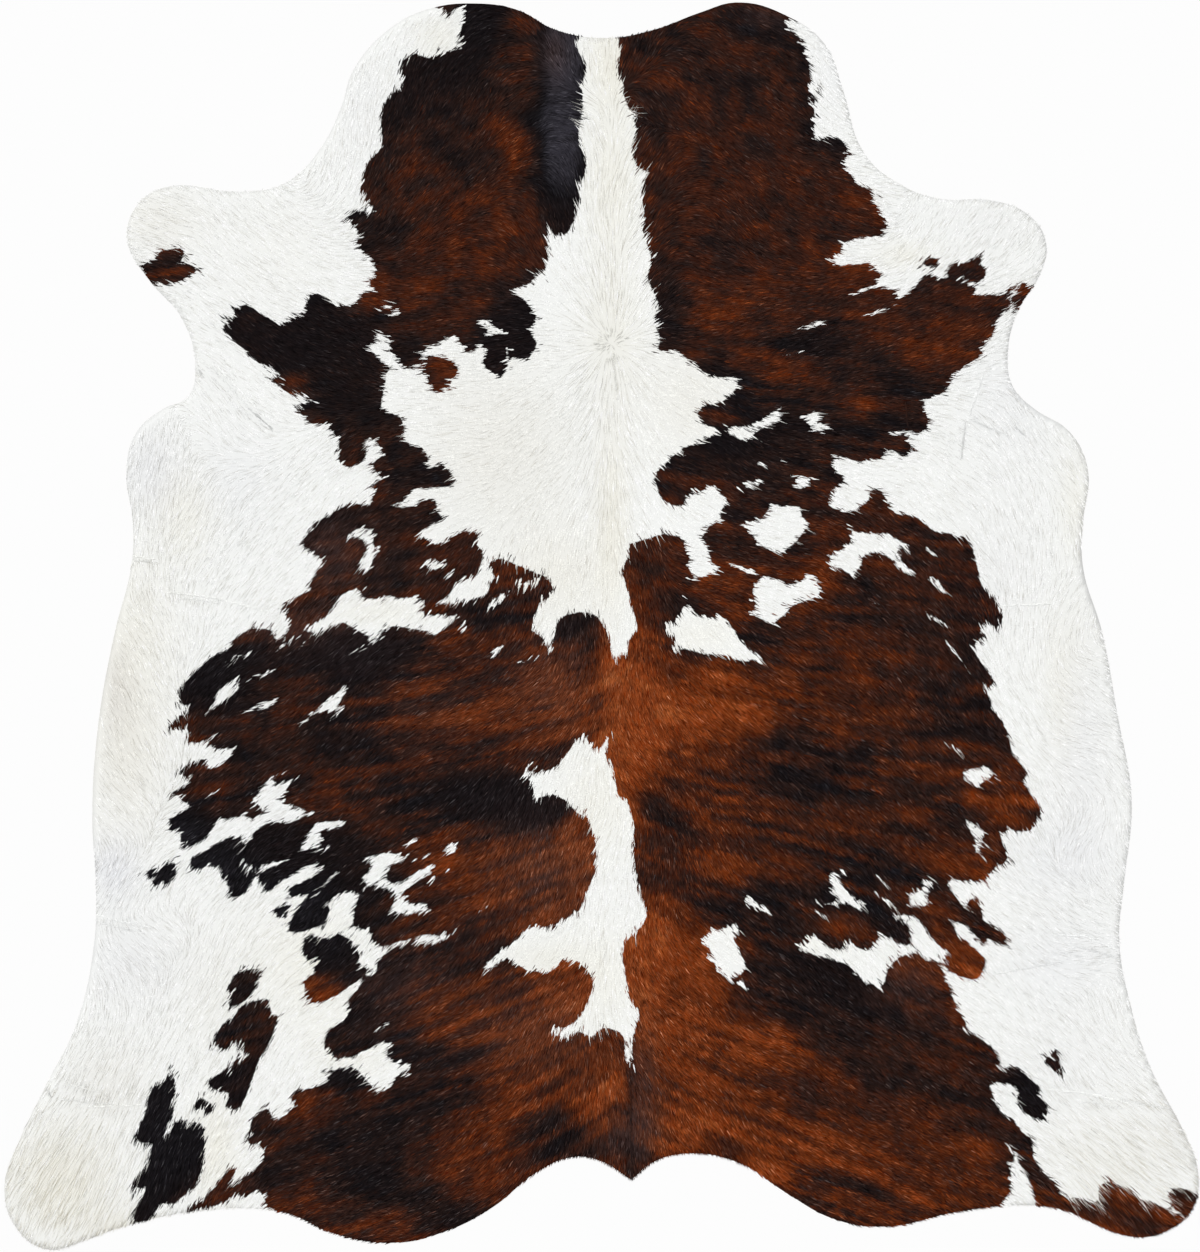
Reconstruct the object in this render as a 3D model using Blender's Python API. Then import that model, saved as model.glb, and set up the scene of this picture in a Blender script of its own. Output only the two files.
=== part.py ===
"""Hair-on cowhide rug, lying flat: one tanned hide, cut to the animal's own outline.

The hide lies in the XY plane with its skin side on Z = 0 and its hair side up. +Y runs along the
spine towards the neck, +X towards the animal's right side as it lies spread, seen from above.
Lengths are in metres.
"""

from typing import NamedTuple

import bpy
from mathutils import Vector

# Driving dimensions
SKIN_THICKNESS = 0.0022
COAT_DEPTH = 0.0028
HIDE_THICKNESS = SKIN_THICKNESS + COAT_DEPTH
EDGE_ROUNDING = 0.0012
ROUNDING_STEPS = 0
STEPS_BETWEEN_LANDMARKS = 6

# Finish
COAT_COLOUR = (0.16, 0.10, 0.07, 1.0)
COAT_ROUGHNESS = 0.75


class Landmark(NamedTuple):
    """A named place on the cut edge: across the hide, along its spine, and whether it is pointed."""

    name: str
    across: float
    along: float
    pointed: bool = False


RIGHT_NECK = (
    Landmark("neck_notch", 0.010, 1.037),
    Landmark("right_neck_rise", 0.094, 1.052),
    Landmark("right_neck_slope", 0.174, 1.082),
    Landmark("right_neck_crown", 0.241, 1.100),
    Landmark("right_neck_brow", 0.329, 1.075),
    Landmark("right_neck_shoulder", 0.394, 1.026),
    Landmark("right_neck_side", 0.426, 0.945),
    Landmark("right_neck_hollow", 0.463, 0.834),
)
RIGHT_FORELEG = (
    Landmark("right_foreleg_root", 0.526, 0.779),
    Landmark("right_foreleg_dip", 0.600, 0.753),
    Landmark("right_foreleg_front", 0.685, 0.751),
    Landmark("right_foreleg_toe_front", 0.752, 0.726),
    Landmark("right_foreleg_toe", 0.784, 0.677),
    Landmark("right_foreleg_toe_back", 0.775, 0.624),
    Landmark("right_foreleg_back", 0.736, 0.559),
    Landmark("right_armpit", 0.717, 0.487),
    Landmark("right_armpit_back", 0.725, 0.423),
)
RIGHT_FLANK = (
    Landmark("right_girth_front", 0.762, 0.384),
    Landmark("right_girth", 0.826, 0.342),
    Landmark("right_girth_bulge", 0.858, 0.275),
    Landmark("right_girth_back", 0.849, 0.183),
    Landmark("right_belly_dip", 0.849, 0.104),
    Landmark("right_belly_front", 0.882, -0.007),
    Landmark("right_belly", 0.910, -0.157),
    Landmark("right_belly_bulge", 0.935, -0.307),
    Landmark("right_belly_back", 0.921, -0.457),
    Landmark("right_stifle_dip", 0.913, -0.554),
)
RIGHT_HIND_LEG = (
    Landmark("right_thigh", 0.932, -0.665),
    Landmark("right_shank", 0.970, -0.783),
    Landmark("right_hock", 1.025, -0.888),
    Landmark("right_foot_outer", 1.052, -0.962),
    Landmark("right_foot_tip", 1.043, -1.026),
    Landmark("right_foot_sole", 1.002, -1.064),
    Landmark("right_foot_inner", 0.949, -1.078),
    Landmark("right_foot_heel", 0.889, -1.063),
)
RIGHT_RUMP = (
    Landmark("right_leg_arch_outer", 0.812, -1.029),
    Landmark("right_leg_arch", 0.724, -1.022),
    Landmark("right_leg_arch_inner", 0.618, -1.035),
    Landmark("right_rump", 0.505, -1.059),
    Landmark("right_rump_inner", 0.413, -1.047),
    Landmark("right_rump_slope", 0.323, -0.998),
    Landmark("right_tail_side", 0.248, -0.949),
    Landmark("right_tail_arch", 0.163, -0.930),
    Landmark("right_tail_root", 0.094, -0.944),
)
LEFT_RUMP = (
    Landmark("tail_tip", 0.053, -0.977, pointed=True),
    Landmark("left_tail_root", -0.003, -0.943),
    Landmark("left_tail_arch", -0.048, -0.936),
    Landmark("left_tail_side", -0.112, -0.962),
    Landmark("left_rump_slope", -0.193, -1.026),
    Landmark("left_rump_inner", -0.276, -1.068),
    Landmark("left_rump", -0.373, -1.088),
    Landmark("left_rump_outer", -0.473, -1.071),
    Landmark("left_leg_arch_inner", -0.553, -1.036),
)
LEFT_HIND_LEG = (
    Landmark("left_leg_arch", -0.628, -1.027),
    Landmark("left_leg_arch_outer", -0.743, -1.036),
    Landmark("left_foot_heel", -0.849, -1.061),
    Landmark("left_foot_inner", -0.923, -1.088),
    Landmark("left_foot_sole", -0.976, -1.100),
    Landmark("left_foot_tip", -1.032, -1.062),
    Landmark("left_foot_outer", -1.053, -0.989),
    Landmark("left_hock", -1.029, -0.913),
    Landmark("left_shank", -0.976, -0.803),
    Landmark("left_thigh", -0.928, -0.707),
)
LEFT_FLANK = (
    Landmark("left_stifle_dip", -0.895, -0.562),
    Landmark("left_belly_back", -0.892, -0.448),
    Landmark("left_belly_bulge", -0.898, -0.346),
    Landmark("left_belly", -0.888, -0.178),
    Landmark("left_belly_front", -0.859, -0.014),
    Landmark("left_girth_back", -0.828, 0.113),
    Landmark("left_girth_dip", -0.827, 0.187),
    Landmark("left_girth_bulge", -0.838, 0.271),
    Landmark("left_girth", -0.821, 0.340),
    Landmark("left_girth_front", -0.773, 0.383),
)
LEFT_FORELEG = (
    Landmark("left_armpit_back", -0.729, 0.404),
    Landmark("left_armpit", -0.716, 0.450),
    Landmark("left_foreleg_back", -0.738, 0.539),
    Landmark("left_foreleg_toe_back", -0.799, 0.612),
    Landmark("left_foreleg_toe", -0.836, 0.680),
    Landmark("left_foreleg_toe_front", -0.819, 0.742),
    Landmark("left_foreleg_front", -0.768, 0.774),
    Landmark("left_foreleg_dip", -0.637, 0.766),
    Landmark("left_foreleg_root", -0.560, 0.780),
)
LEFT_NECK = (
    Landmark("left_neck_hollow", -0.500, 0.836),
    Landmark("left_neck_side", -0.459, 0.915),
    Landmark("left_neck_shoulder", -0.438, 0.980),
    Landmark("left_neck_brow", -0.369, 1.057),
    Landmark("left_neck_crown_side", -0.302, 1.089),
    Landmark("left_neck_crown", -0.225, 1.098),
    Landmark("left_neck_slope", -0.149, 1.087),
    Landmark("left_neck_rise", -0.080, 1.051),
)

# The cut edge, once round the hide clockwise from the notch between the two neck lobes.
CUT_EDGE = (
    RIGHT_NECK
    + RIGHT_FORELEG
    + RIGHT_FLANK
    + RIGHT_HIND_LEG
    + RIGHT_RUMP
    + LEFT_RUMP
    + LEFT_HIND_LEG
    + LEFT_FLANK
    + LEFT_FORELEG
    + LEFT_NECK
)


def clear_scene():
    """Removes every object that is already in the file."""
    for obj in list(bpy.data.objects):
        bpy.data.objects.remove(obj, do_unlink=True)


def coat_material():
    """Short hair over tanned skin: mostly brown, with hardly any shine."""
    material = bpy.data.materials.new("cowhide_coat")
    material.use_nodes = True
    shader = material.node_tree.nodes["Principled BSDF"]
    shader.inputs["Base Color"].default_value = COAT_COLOUR
    shader.inputs["Roughness"].default_value = COAT_ROUGHNESS
    shader.inputs["Metallic"].default_value = 0.0
    return material


def cut_edge_spline(curve):
    """Adds the closed edge of the hide to the curve: smooth everywhere but at the pointed places."""
    spline = curve.splines.new("BEZIER")
    spline.bezier_points.add(len(CUT_EDGE) - 1)
    for point, landmark in zip(spline.bezier_points, CUT_EDGE):
        handle = "VECTOR" if landmark.pointed else "AUTO"
        point.co = Vector((landmark.across, landmark.along, 0.0))
        point.handle_left_type = handle
        point.handle_right_type = handle
    spline.use_cyclic_u = True
    return spline


def build_hide():
    """The hide: the area inside its cut edge, filled, as thick as skin and coat, its rims rounded."""
    curve = bpy.data.curves.new("hide", "CURVE")
    curve.dimensions = "2D"
    curve.fill_mode = "BOTH"
    curve.resolution_u = STEPS_BETWEEN_LANDMARKS
    cut_edge_spline(curve)
    curve.offset = -EDGE_ROUNDING
    curve.bevel_depth = EDGE_ROUNDING
    curve.bevel_resolution = ROUNDING_STEPS
    curve.extrude = HIDE_THICKNESS / 2 - EDGE_ROUNDING
    curve.materials.append(coat_material())
    hide = bpy.data.objects.new("hide", curve)
    hide.location.z = HIDE_THICKNESS / 2
    bpy.context.scene.collection.objects.link(hide)
    return hide


clear_scene()
build_hide()
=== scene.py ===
"""Looks of a whole hair-on cowhide rug, lying flat, hair side up, on a pale studio floor.

The hide keeps the frame of its solid: +Y runs along the spine towards the neck, +X to the right seen
from above, and the skin side lies on Z = 0. Lengths are in metres, and the tables of places on the
hide are in millimetres from the middle of its outline box.

The hide is one thin closed sheet. Its coat is made of lying tufts, joined into six pieces by place.
One set of fields over the hide, held on a fine square lattice, says for every place how the hair
lies, how far the nearest edge of a dark patch is and how warm its brown is.
"""

import itertools
import logging
import math
from dataclasses import dataclass, field
from enum import Enum
from typing import NamedTuple, Sequence

import bmesh
import bpy
import numpy as np
from mathutils import Matrix, Vector


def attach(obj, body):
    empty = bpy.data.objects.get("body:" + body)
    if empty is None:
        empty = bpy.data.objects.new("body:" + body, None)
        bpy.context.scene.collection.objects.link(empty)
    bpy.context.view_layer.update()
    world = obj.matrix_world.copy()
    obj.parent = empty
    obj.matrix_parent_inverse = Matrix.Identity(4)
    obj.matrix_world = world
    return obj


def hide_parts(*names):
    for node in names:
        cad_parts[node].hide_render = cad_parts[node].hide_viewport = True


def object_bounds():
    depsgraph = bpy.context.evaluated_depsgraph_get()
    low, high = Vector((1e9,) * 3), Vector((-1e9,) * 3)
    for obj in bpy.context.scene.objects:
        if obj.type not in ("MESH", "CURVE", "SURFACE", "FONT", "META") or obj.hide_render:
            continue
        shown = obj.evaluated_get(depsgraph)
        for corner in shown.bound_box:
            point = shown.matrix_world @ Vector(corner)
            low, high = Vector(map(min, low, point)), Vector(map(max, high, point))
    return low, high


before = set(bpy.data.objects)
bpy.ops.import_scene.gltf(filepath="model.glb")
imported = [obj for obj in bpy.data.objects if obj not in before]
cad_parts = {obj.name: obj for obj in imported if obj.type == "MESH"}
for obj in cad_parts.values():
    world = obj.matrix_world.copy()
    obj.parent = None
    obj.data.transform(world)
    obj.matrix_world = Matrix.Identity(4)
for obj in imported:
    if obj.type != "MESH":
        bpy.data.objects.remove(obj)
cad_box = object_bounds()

log = logging.getLogger("cowhide_rug")

MM = 0.001
BODY = "root"
SOLID = "hide"
# How far the nets of the fields reach past the hide.
NET_MARGIN = 20 * MM
# How fast an oval zone falls off: past its rim it counts for less than half.
OVAL_FALL = 0.9


# ---------------------------------------------------------------- places on the hide, as read


class Guide(NamedTuple):
    """How the hair lies at a place: the angle from root to tip, in degrees, anticlockwise from +X."""

    x: float
    y: float
    angle: float


class Zone(NamedTuple):
    """An oval zone of the coat: its middle, half sizes, how much of a look it has, tilt in degrees."""

    x: float
    y: float
    half_x: float
    half_y: float
    amount: float
    tilt: float = 0.0


class Patch(NamedTuple):
    """A named patch of coat and the outline of it, as (x, y) places."""

    name: str
    outline: tuple[tuple[float, float], ...]


class Fleck(NamedTuple):
    """A small slim fleck of white hair: its middle, length, width and tilt in degrees."""

    x: float
    y: float
    length: float
    width: float
    tilt: float


class Crease(NamedTuple):
    """A soft trough between two places, or a ridge where its depth is negative.

    Line is how much darker the hair along it is, as painted shade in the fold, and negative where it is
    lighter, as a painted highlight on a ridge. Shade is how much light the hair beside it loses as painted
    shade, most at lean millimetres to the left of the line, seen from its start.
    """

    name: str
    x0: float
    y0: float
    x1: float
    y1: float
    width: float
    depth: float
    line: float = 0.0
    shade: float = 0.0
    lean: float = 0.0


class Tint(NamedTuple):
    """A faint tint over the white coat in an oval zone: middle, half sizes, cream, grey painted shade and
    tilt.
    """

    x: float
    y: float
    half_x: float
    half_y: float
    cream: float
    grey: float
    tilt: float = 0.0


# How the hair lies.
HAIR_GUIDES = [Guide(*row) for row in (
    # strip
    (-3, 998, 100), (36, 998, 75), (-3, 839, 105), (50, 839, 60), (-3, 663, 100), (68, 663, 45),
    # left neck
    (-47, 892, 170), (-108, 892, 215), (-214, 892, 235), (-302, 839, 230), (-364, 892, 240),
    (-408, 892, 265),
    # left shoulder
    (-108, 539, 180), (-267, 398, 185), (-479, 487, 158), (-620, 522, 150), (-584, 416, 145),
    (-637, 698, 138), (-778, 733, 155), (-796, 636, 170), (-655, 381, 130), (-778, 328, 262),
    (-496, 275, 225), (-267, 310, 190), (-38, 328, 243),
    # spine
    (19, 398, 270), (19, 257, 270), (19, 116, 270), (19, -25, 270),
    # round the whorl
    (18, 542, 90), (-12, 535, 128), (50, 535, 55), (18, 590, 90), (-34, 575, 130), (72, 575, 48),
    (-30, 503, 176), (70, 503, 8), (-22, 466, 222), (60, 466, 318), (19, 450, 270), (-75, 500, 184),
    (118, 500, 356),
    # below the whorl
    (-24, 398, 238), (-56, 363, 225), (-91, 398, 210), (56, 398, 305), (86, 398, 318), (138, 416, 335),
    (-20, 257, 245), (-73, 275, 222), (61, 257, 302), (103, 275, 318), (-3, 116, 255), (47, 116, 290),
    # left flank
    (-620, 134, 230), (-708, 187, 245), (-796, 222, 265), (-814, 116, 275), (-831, 11, 300),
    (-796, -130, 300), (-866, -307, 310), (-831, -448, 235), (-796, -536, 320), (-708, -589, 245),
    # left saddle
    (-664, -113, 227), (-602, -139, 208), (-479, -130, 220), (-267, -130, 207), (-108, -130, 215),
    (-38, -113, 245), (-3, -95, 262), (-531, -395, 207), (-302, -430, 215), (-708, -360, 212),
    (-637, -448, 230), (-443, -518, 225), (-496, -642, 218), (-20, -395, 250), (-108, -571, 235),
    # left hind
    (-620, -624, 233), (-620, -730, 240), (-778, -836, 245), (-884, -836, 243), (-955, -1012, 242),
    (-849, -1047, 245), (-743, -941, 252), (-655, -994, 235), (-267, -747, 210), (-443, -924, 207),
    (-531, -1012, 203), (-144, -871, 220), (-38, -836, 262), (-73, -924, 250), (-267, -1012, 208),
    (-355, -1074, 200),
    # tail
    (15, -483, 264), (50, -871, 270),
    # right neck
    (85, 927, 315), (174, 927, 318), (279, 927, 325), (350, 751, 330), (244, 716, 322), (174, 663, 345),
    (315, 1051, 332), (403, 998, 310), (473, 751, 340),
    # right shoulder
    (262, 522, 9), (438, 557, 14), (614, 539, 20), (702, 575, 25), (350, 434, 12), (491, 328, 350),
    (561, 716, 62), (632, 698, 55), (702, 716, 55), (755, 698, 50),
    # right girth
    (68, 328, 300), (156, 346, 330), (138, 275, 335), (174, 116, 350), (279, 152, 352), (473, 152, 328),
    (579, 116, 318),
    # right body
    (68, -130, 292), (103, -236, 308), (174, -130, 318), (279, -166, 325), (438, -130, 320),
    (614, -42, 315), (667, -236, 318), (614, -395, 318), (702, -395, 312),
    # right flank
    (614, 275, 320), (773, 328, 300), (738, 222, 288), (826, 275, 305), (808, 152, 278), (840, 72, 245),
    (773, -25, 270), (808, 11, 255), (861, -60, 332), (879, -130, 320), (844, -201, 340), (896, -236, 315),
    (738, -130, 300), (773, -307, 300), (858, -360, 240), (896, -395, 305), (702, -483, 322),
    (808, -483, 325), (879, -536, 337), (861, -589, 10), (879, -642, 290), (738, -659, 310),
    (844, -730, 312),
    # right hind
    (932, -836, 318), (879, -924, 325), (791, -906, 322), (1020, -977, 318), (914, -1029, 308),
    (826, -1021, 312), (1020, -1029, 325), (174, -659, 315), (138, -765, 312), (279, -765, 330),
    (85, -836, 290), (174, -888, 303), (438, -941, 332), (438, -747, 325), (597, -747, 325),
    (614, -959, 330), (667, -659, 320), (526, -1029, 335), (315, -571, 320), (209, -571, 315),
    (473, -589, 312),
)]

# How warm the brown of the dark coat is: black at 0 and a little below, chestnut at 1; further below, black
# under a painted bluish sheen.
COAT_TONES = [Zone(*row) for row in (
    # left neck
    (-205, 1054, 42, 42, -0.12), (-306, 977, 35, 25, 0.04), (-352, 945, 30, 60, -0.02),
    (-73, 994, 30, 78, -0.44), (-119, 945, 14, 71, 0.1), (-70, 857, 28, 88, -0.44),
    (-115, 892, 25, 19, -0.34), (-73, 726, 21, 32, 0.02), (-158, 980, 35, 53, 0.3),
    (-140, 1061, 25, 25, 0.56), (-165, 857, 35, 42, 0.5), (-264, 871, 60, 53, 0.12),
    (-223, 719, 60, 49, 0.48), (-221, 654, 49, 32, 0.46), (-152, 672, 42, 42, 0.42),
    (-346, 742, 42, 32, 0.28), (-346, 663, 49, 39, 0.25), (-223, 813, 21, 21, 0.15),
    (-267, 971, 49, 39, -0.04), (-394, 695, 42, 28, -0.02),
    # left shoulder
    (-138, 531, 35, 56, -0.06), (-197, 474, 25, 39, -0.04), (-341, 474, 28, 28, 0),
    (-382, 592, 46, 25, 0.55), (-311, 601, 39, 28, 0.6), (-267, 592, 46, 35, 0.3),
    (-531, 495, 109, 60, -0.06, 20), (-687, 543, 42, 42, -0.1), (-429, 412, 49, 56, 0),
    (-556, 420, 28, 16, 0.5, 20), (-292, 451, 28, 28, 0.5), (-320, 289, 46, 39, 0.1),
    (-334, 187, 39, 18, 0.1), (-253, 125, 42, 32, 0.38), (-470, 123, 60, 35, 0.2),
    (-493, 183, 46, 25, -0.02), (-147, 99, 46, 21, 0.44), (-352, 90, 63, 35, 0.14),
    (-126, 46, 42, 28, 0.22), (-123, -39, 28, 18, 0.6), (-267, -11, 25, 25, 0.6),
    (-179, -11, 46, 39, 0.25), (-41, -4, 42, 30, -0.05),
    # left saddle
    (-570, -4, 74, 21, 0.56), (-669, -92, 74, 49, -0.14), (-443, -55, 88, 42, -0.12),
    (-457, -197, 63, 21, 0), (-690, -268, 39, 25, 0.48), (-546, -116, 78, 39, 0.24),
    (-725, -169, 42, 21, 0.46), (-598, -192, 71, 28, 0.2), (-274, -104, 99, 28, 0.4, 6),
    (-193, -166, 123, 28, 0.5, 4), (-73, -130, 46, 32, 0.72, 30), (-29, -113, 25, 60, 0.5),
    (-47, -159, 28, 28, 1), (19, -113, 18, 74, 1.1), (-100, -210, 46, 21, 0.46, 30),
    (-246, -222, 95, 19, 0.42, 4), (-452, -280, 99, 32, 0.36), (-655, -289, 88, 42, 0.05),
    (-531, -374, 106, 49, -0.06), (-734, -356, 35, 25, -0.22), (-699, -430, 88, 53, -0.22),
    (-778, -441, 39, 32, -0.22), (-549, -492, 78, 46, -0.22), (-207, -303, 123, 39, -0.1),
    (-302, -257, 123, 25, 0.08, 4), (-338, -356, 78, 23, 0.36), (-452, -328, 78, 25, 0.56),
    (-41, -386, 28, 53, 0.92), (-91, -328, 42, 21, -0.04, 20), (-144, -421, 60, 25, 0.56),
    (-258, -435, 42, 18, 0.6), (-179, -483, 88, 39, 0.56), (-320, -483, 60, 35, 0.32),
    (-408, -465, 53, 53, 0.08), (-479, -483, 42, 42, -0.14),
    # left rump
    (-470, -568, 60, 35, -0.14), (-496, -642, 35, 19, 0.6), (-415, -628, 39, 25, 0),
    (-285, -589, 88, 28, 0.2), (-329, -642, 53, 35, 0.3), (-207, -642, 74, 19, 0.44, 14),
    (-59, -628, 49, 46, 0.94), (-170, -698, 81, 32, 0.66, -14), (-417, -716, 67, 42, 0.03),
    (-276, -703, 53, 25, 0.62, -14), (-285, -769, 78, 25, 0.16, -4), (-73, -774, 78, 49, 0.62, -10),
    (-165, -857, 60, 49, 0.76, -20), (-320, -832, 88, 28, 0.08), (-510, -857, 32, 21, 0.46),
    (-450, -797, 39, 18, -0.12), (-417, -836, 42, 18, 0.3), (-422, -938, 88, 56, 0),
    (-232, -950, 78, 32, 0.54, -6), (-87, -897, 71, 30, 0.08, -16), (4, -874, 28, 42, 0.5),
    (-3, -950, 32, 25, 0.34), (-6, -797, 42, 46, 1.12), (-531, -950, 60, 49, 0.24),
    (-452, -1051, 88, 21, 0.42), (-493, -1026, 46, 21, 0.64), (-278, -1037, 67, 25, 0, -20),
    (-549, -977, 60, 35, 0.28), (-598, -881, 32, 35, 0.1), (-757, -906, 71, 141, -0.18),
    (-725, -955, 28, 42, -0.12), (-634, -638, 39, 35, 0), (-634, -712, 60, 42, 0.1),
    (-699, -848, 14, 14, 0), (-641, -809, 53, 42, 0.02), (-690, -994, 49, 28, 0.65, 30),
    (-764, 631, 60, 32, 0.36),
    # right neck
    (294, 1068, 53, 23, 0.1), (399, 878, 35, 46, -0.02), (394, 790, 35, 25, 0.42),
    (359, 998, 25, 63, 0.12), (147, 1015, 28, 28, 0.1), (50, 977, 32, 63, 0.28), (112, 955, 35, 42, 0.32),
    (174, 927, 60, 60, 0.3), (271, 945, 60, 63, 0.26), (165, 813, 53, 60, 0.31), (279, 821, 60, 49, 0.26),
    (429, 760, 60, 35, 0.42), (332, 698, 71, 46, 0.34), (174, 698, 60, 46, 0.3),
    # right shoulder
    (205, 554, 49, 26, 0.56), (306, 543, 35, 23, 0.3), (114, 543, 35, 49, 0.02), (376, 592, 60, 26, 0.44),
    (442, 621, 46, 25, 0.62), (385, 504, 46, 23, -0.02), (311, 458, 60, 18, 0.6, -8),
    (195, 434, 53, 25, 0.02), (198, 377, 46, 18, 0.22), (438, 437, 71, 28, 0.1), (456, 384, 25, 18, 0.6),
    (597, 539, 88, 39, 0.35, 10), (702, 583, 46, 21, 0.35), (588, 472, 53, 28, 0.58),
    (579, 395, 60, 46, 0.1), (227, 289, 106, 42, 0, -10), (174, 254, 42, 25, 0.2), (438, 328, 88, 35, 0.1),
    (323, 349, 78, 32, -0.04),
    # right girth
    (94, 99, 46, 53, 0.36), (138, -33, 53, 60, 0.12, 20), (47, 21, 25, 49, 0.74), (212, 81, 42, 28, 0.76),
    (389, 81, 25, 35, 0.72), (477, 99, 39, 21, 0.42), (322, 11, 35, 21, 0.5), (244, 143, 46, 46, 0.3),
    (403, 222, 53, 39, 0.3), (526, 178, 71, 32, 0.3, 10), (611, 95, 60, 46, 0.2), (650, 46, 42, 46, 0.28),
    (477, 60, 60, 39, 0.18), (417, 18, 53, 28, 0.36), (553, -4, 56, 28, 0.08), (283, -39, 32, 32, 0.1),
    (248, 25, 21, 21, 0.5), (350, -42, 60, 39, 0.35),
    # right back
    (68, -113, 56, 109, 1.12), (45, -271, 32, 74, 1.15), (241, -148, 67, 35, 1.04),
    (174, -169, 42, 35, 1.12), (195, -85, 63, 28, 1), (306, -99, 46, 25, 0.6),
    (174, -222, 78, 21, 0.74, 6), (364, -130, 63, 35, 0.5), (456, -74, 60, 46, 0.42),
    (456, -180, 78, 18, 0.5, 12), (597, -113, 71, 71, 0.3), (403, -250, 81, 35, 0.08, 10),
    (248, -268, 56, 12, 0.5, 8), (318, -215, 53, 16, 0.28, 10), (195, -307, 74, 32, 0.52),
    (535, -257, 71, 28, 0.52, 12), (614, -157, 53, 60, 0.16), (635, -240, 39, 25, 0.42),
    (711, -286, 46, 28, 0.6), (717, -335, 32, 21, 0.58), (198, -416, 60, 32, 0.72),
    (103, -321, 60, 26, 0.12, -34), (89, -402, 42, 16, 0.56, -20), (124, -455, 74, 21, 0.1, -14),
    (212, -458, 60, 14, 0.6, 10), (283, -391, 63, 25, 0.32), (403, -430, 106, 32, 0.14),
    (438, -370, 88, 18, 0.36, 6), (572, -360, 25, 16, 0.3), (403, -328, 78, 18, 0.2, 6),
    (628, -353, 35, 25, 0.06), (614, -398, 28, 14, 0.46), (653, -427, 35, 18, 0.5),
    (216, -494, 67, 21, 0.04, 10), (117, -532, 32, 35, 1), (244, -529, 60, 16, 0.1),
    (606, -497, 49, 21, 0.34), (658, -532, 28, 18, 0.14),
    # right rump
    (147, -598, 78, 74, 0.9), (68, -610, 28, 81, 1.16), (200, -698, 78, 39, 0.86, -16),
    (399, -543, 42, 23, 0.44), (491, -522, 42, 25, 0.2), (632, -583, 46, 42, 0.9),
    (526, -465, 53, 25, 0.15), (279, -633, 53, 53, 0.12, 20), (350, -610, 71, 39, 0),
    (438, -650, 78, 35, -0.06, -30), (413, -721, 88, 35, 0.03, -30), (526, -610, 42, 28, 0.3, -30),
    (579, -686, 63, 42, 0.26, -30), (170, -747, 99, 46, 0.74, -20), (294, -754, 63, 35, 0.96, -24),
    (244, -797, 71, 9, 0.3, -20), (149, -892, 60, 53, 0.92), (228, -906, 12, 42, 0.6),
    (294, -857, 35, 60, 0.62), (301, -955, 42, 25, 0.98, 10), (382, -924, 71, 28, 0.8, -18),
    (417, -984, 60, 16, 0.26, -18), (459, -1033, 63, 16, 0.5, -10), (438, -836, 81, 32, 0.42, -25),
    (491, -747, 106, 53, 0.24, -30), (597, -818, 88, 78, 0.3, -25), (597, -950, 78, 53, 0.7, -20),
    (731, -910, 25, 42, 0.36), (52, -871, 7, 106, 0), (68, -906, 14, 53, 0.2), (29, -888, 14, 53, 0.25),
    (82, -769, 25, 78, 0.7), (752, -825, 35, 42, -0.16), (893, -1026, 134, 42, 0.46),
    (796, -770, 28, 28, 0.05), (579, -1033, 78, 25, 0.66), (406, -1008, 60, 21, 0.3, -18),
)]

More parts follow.
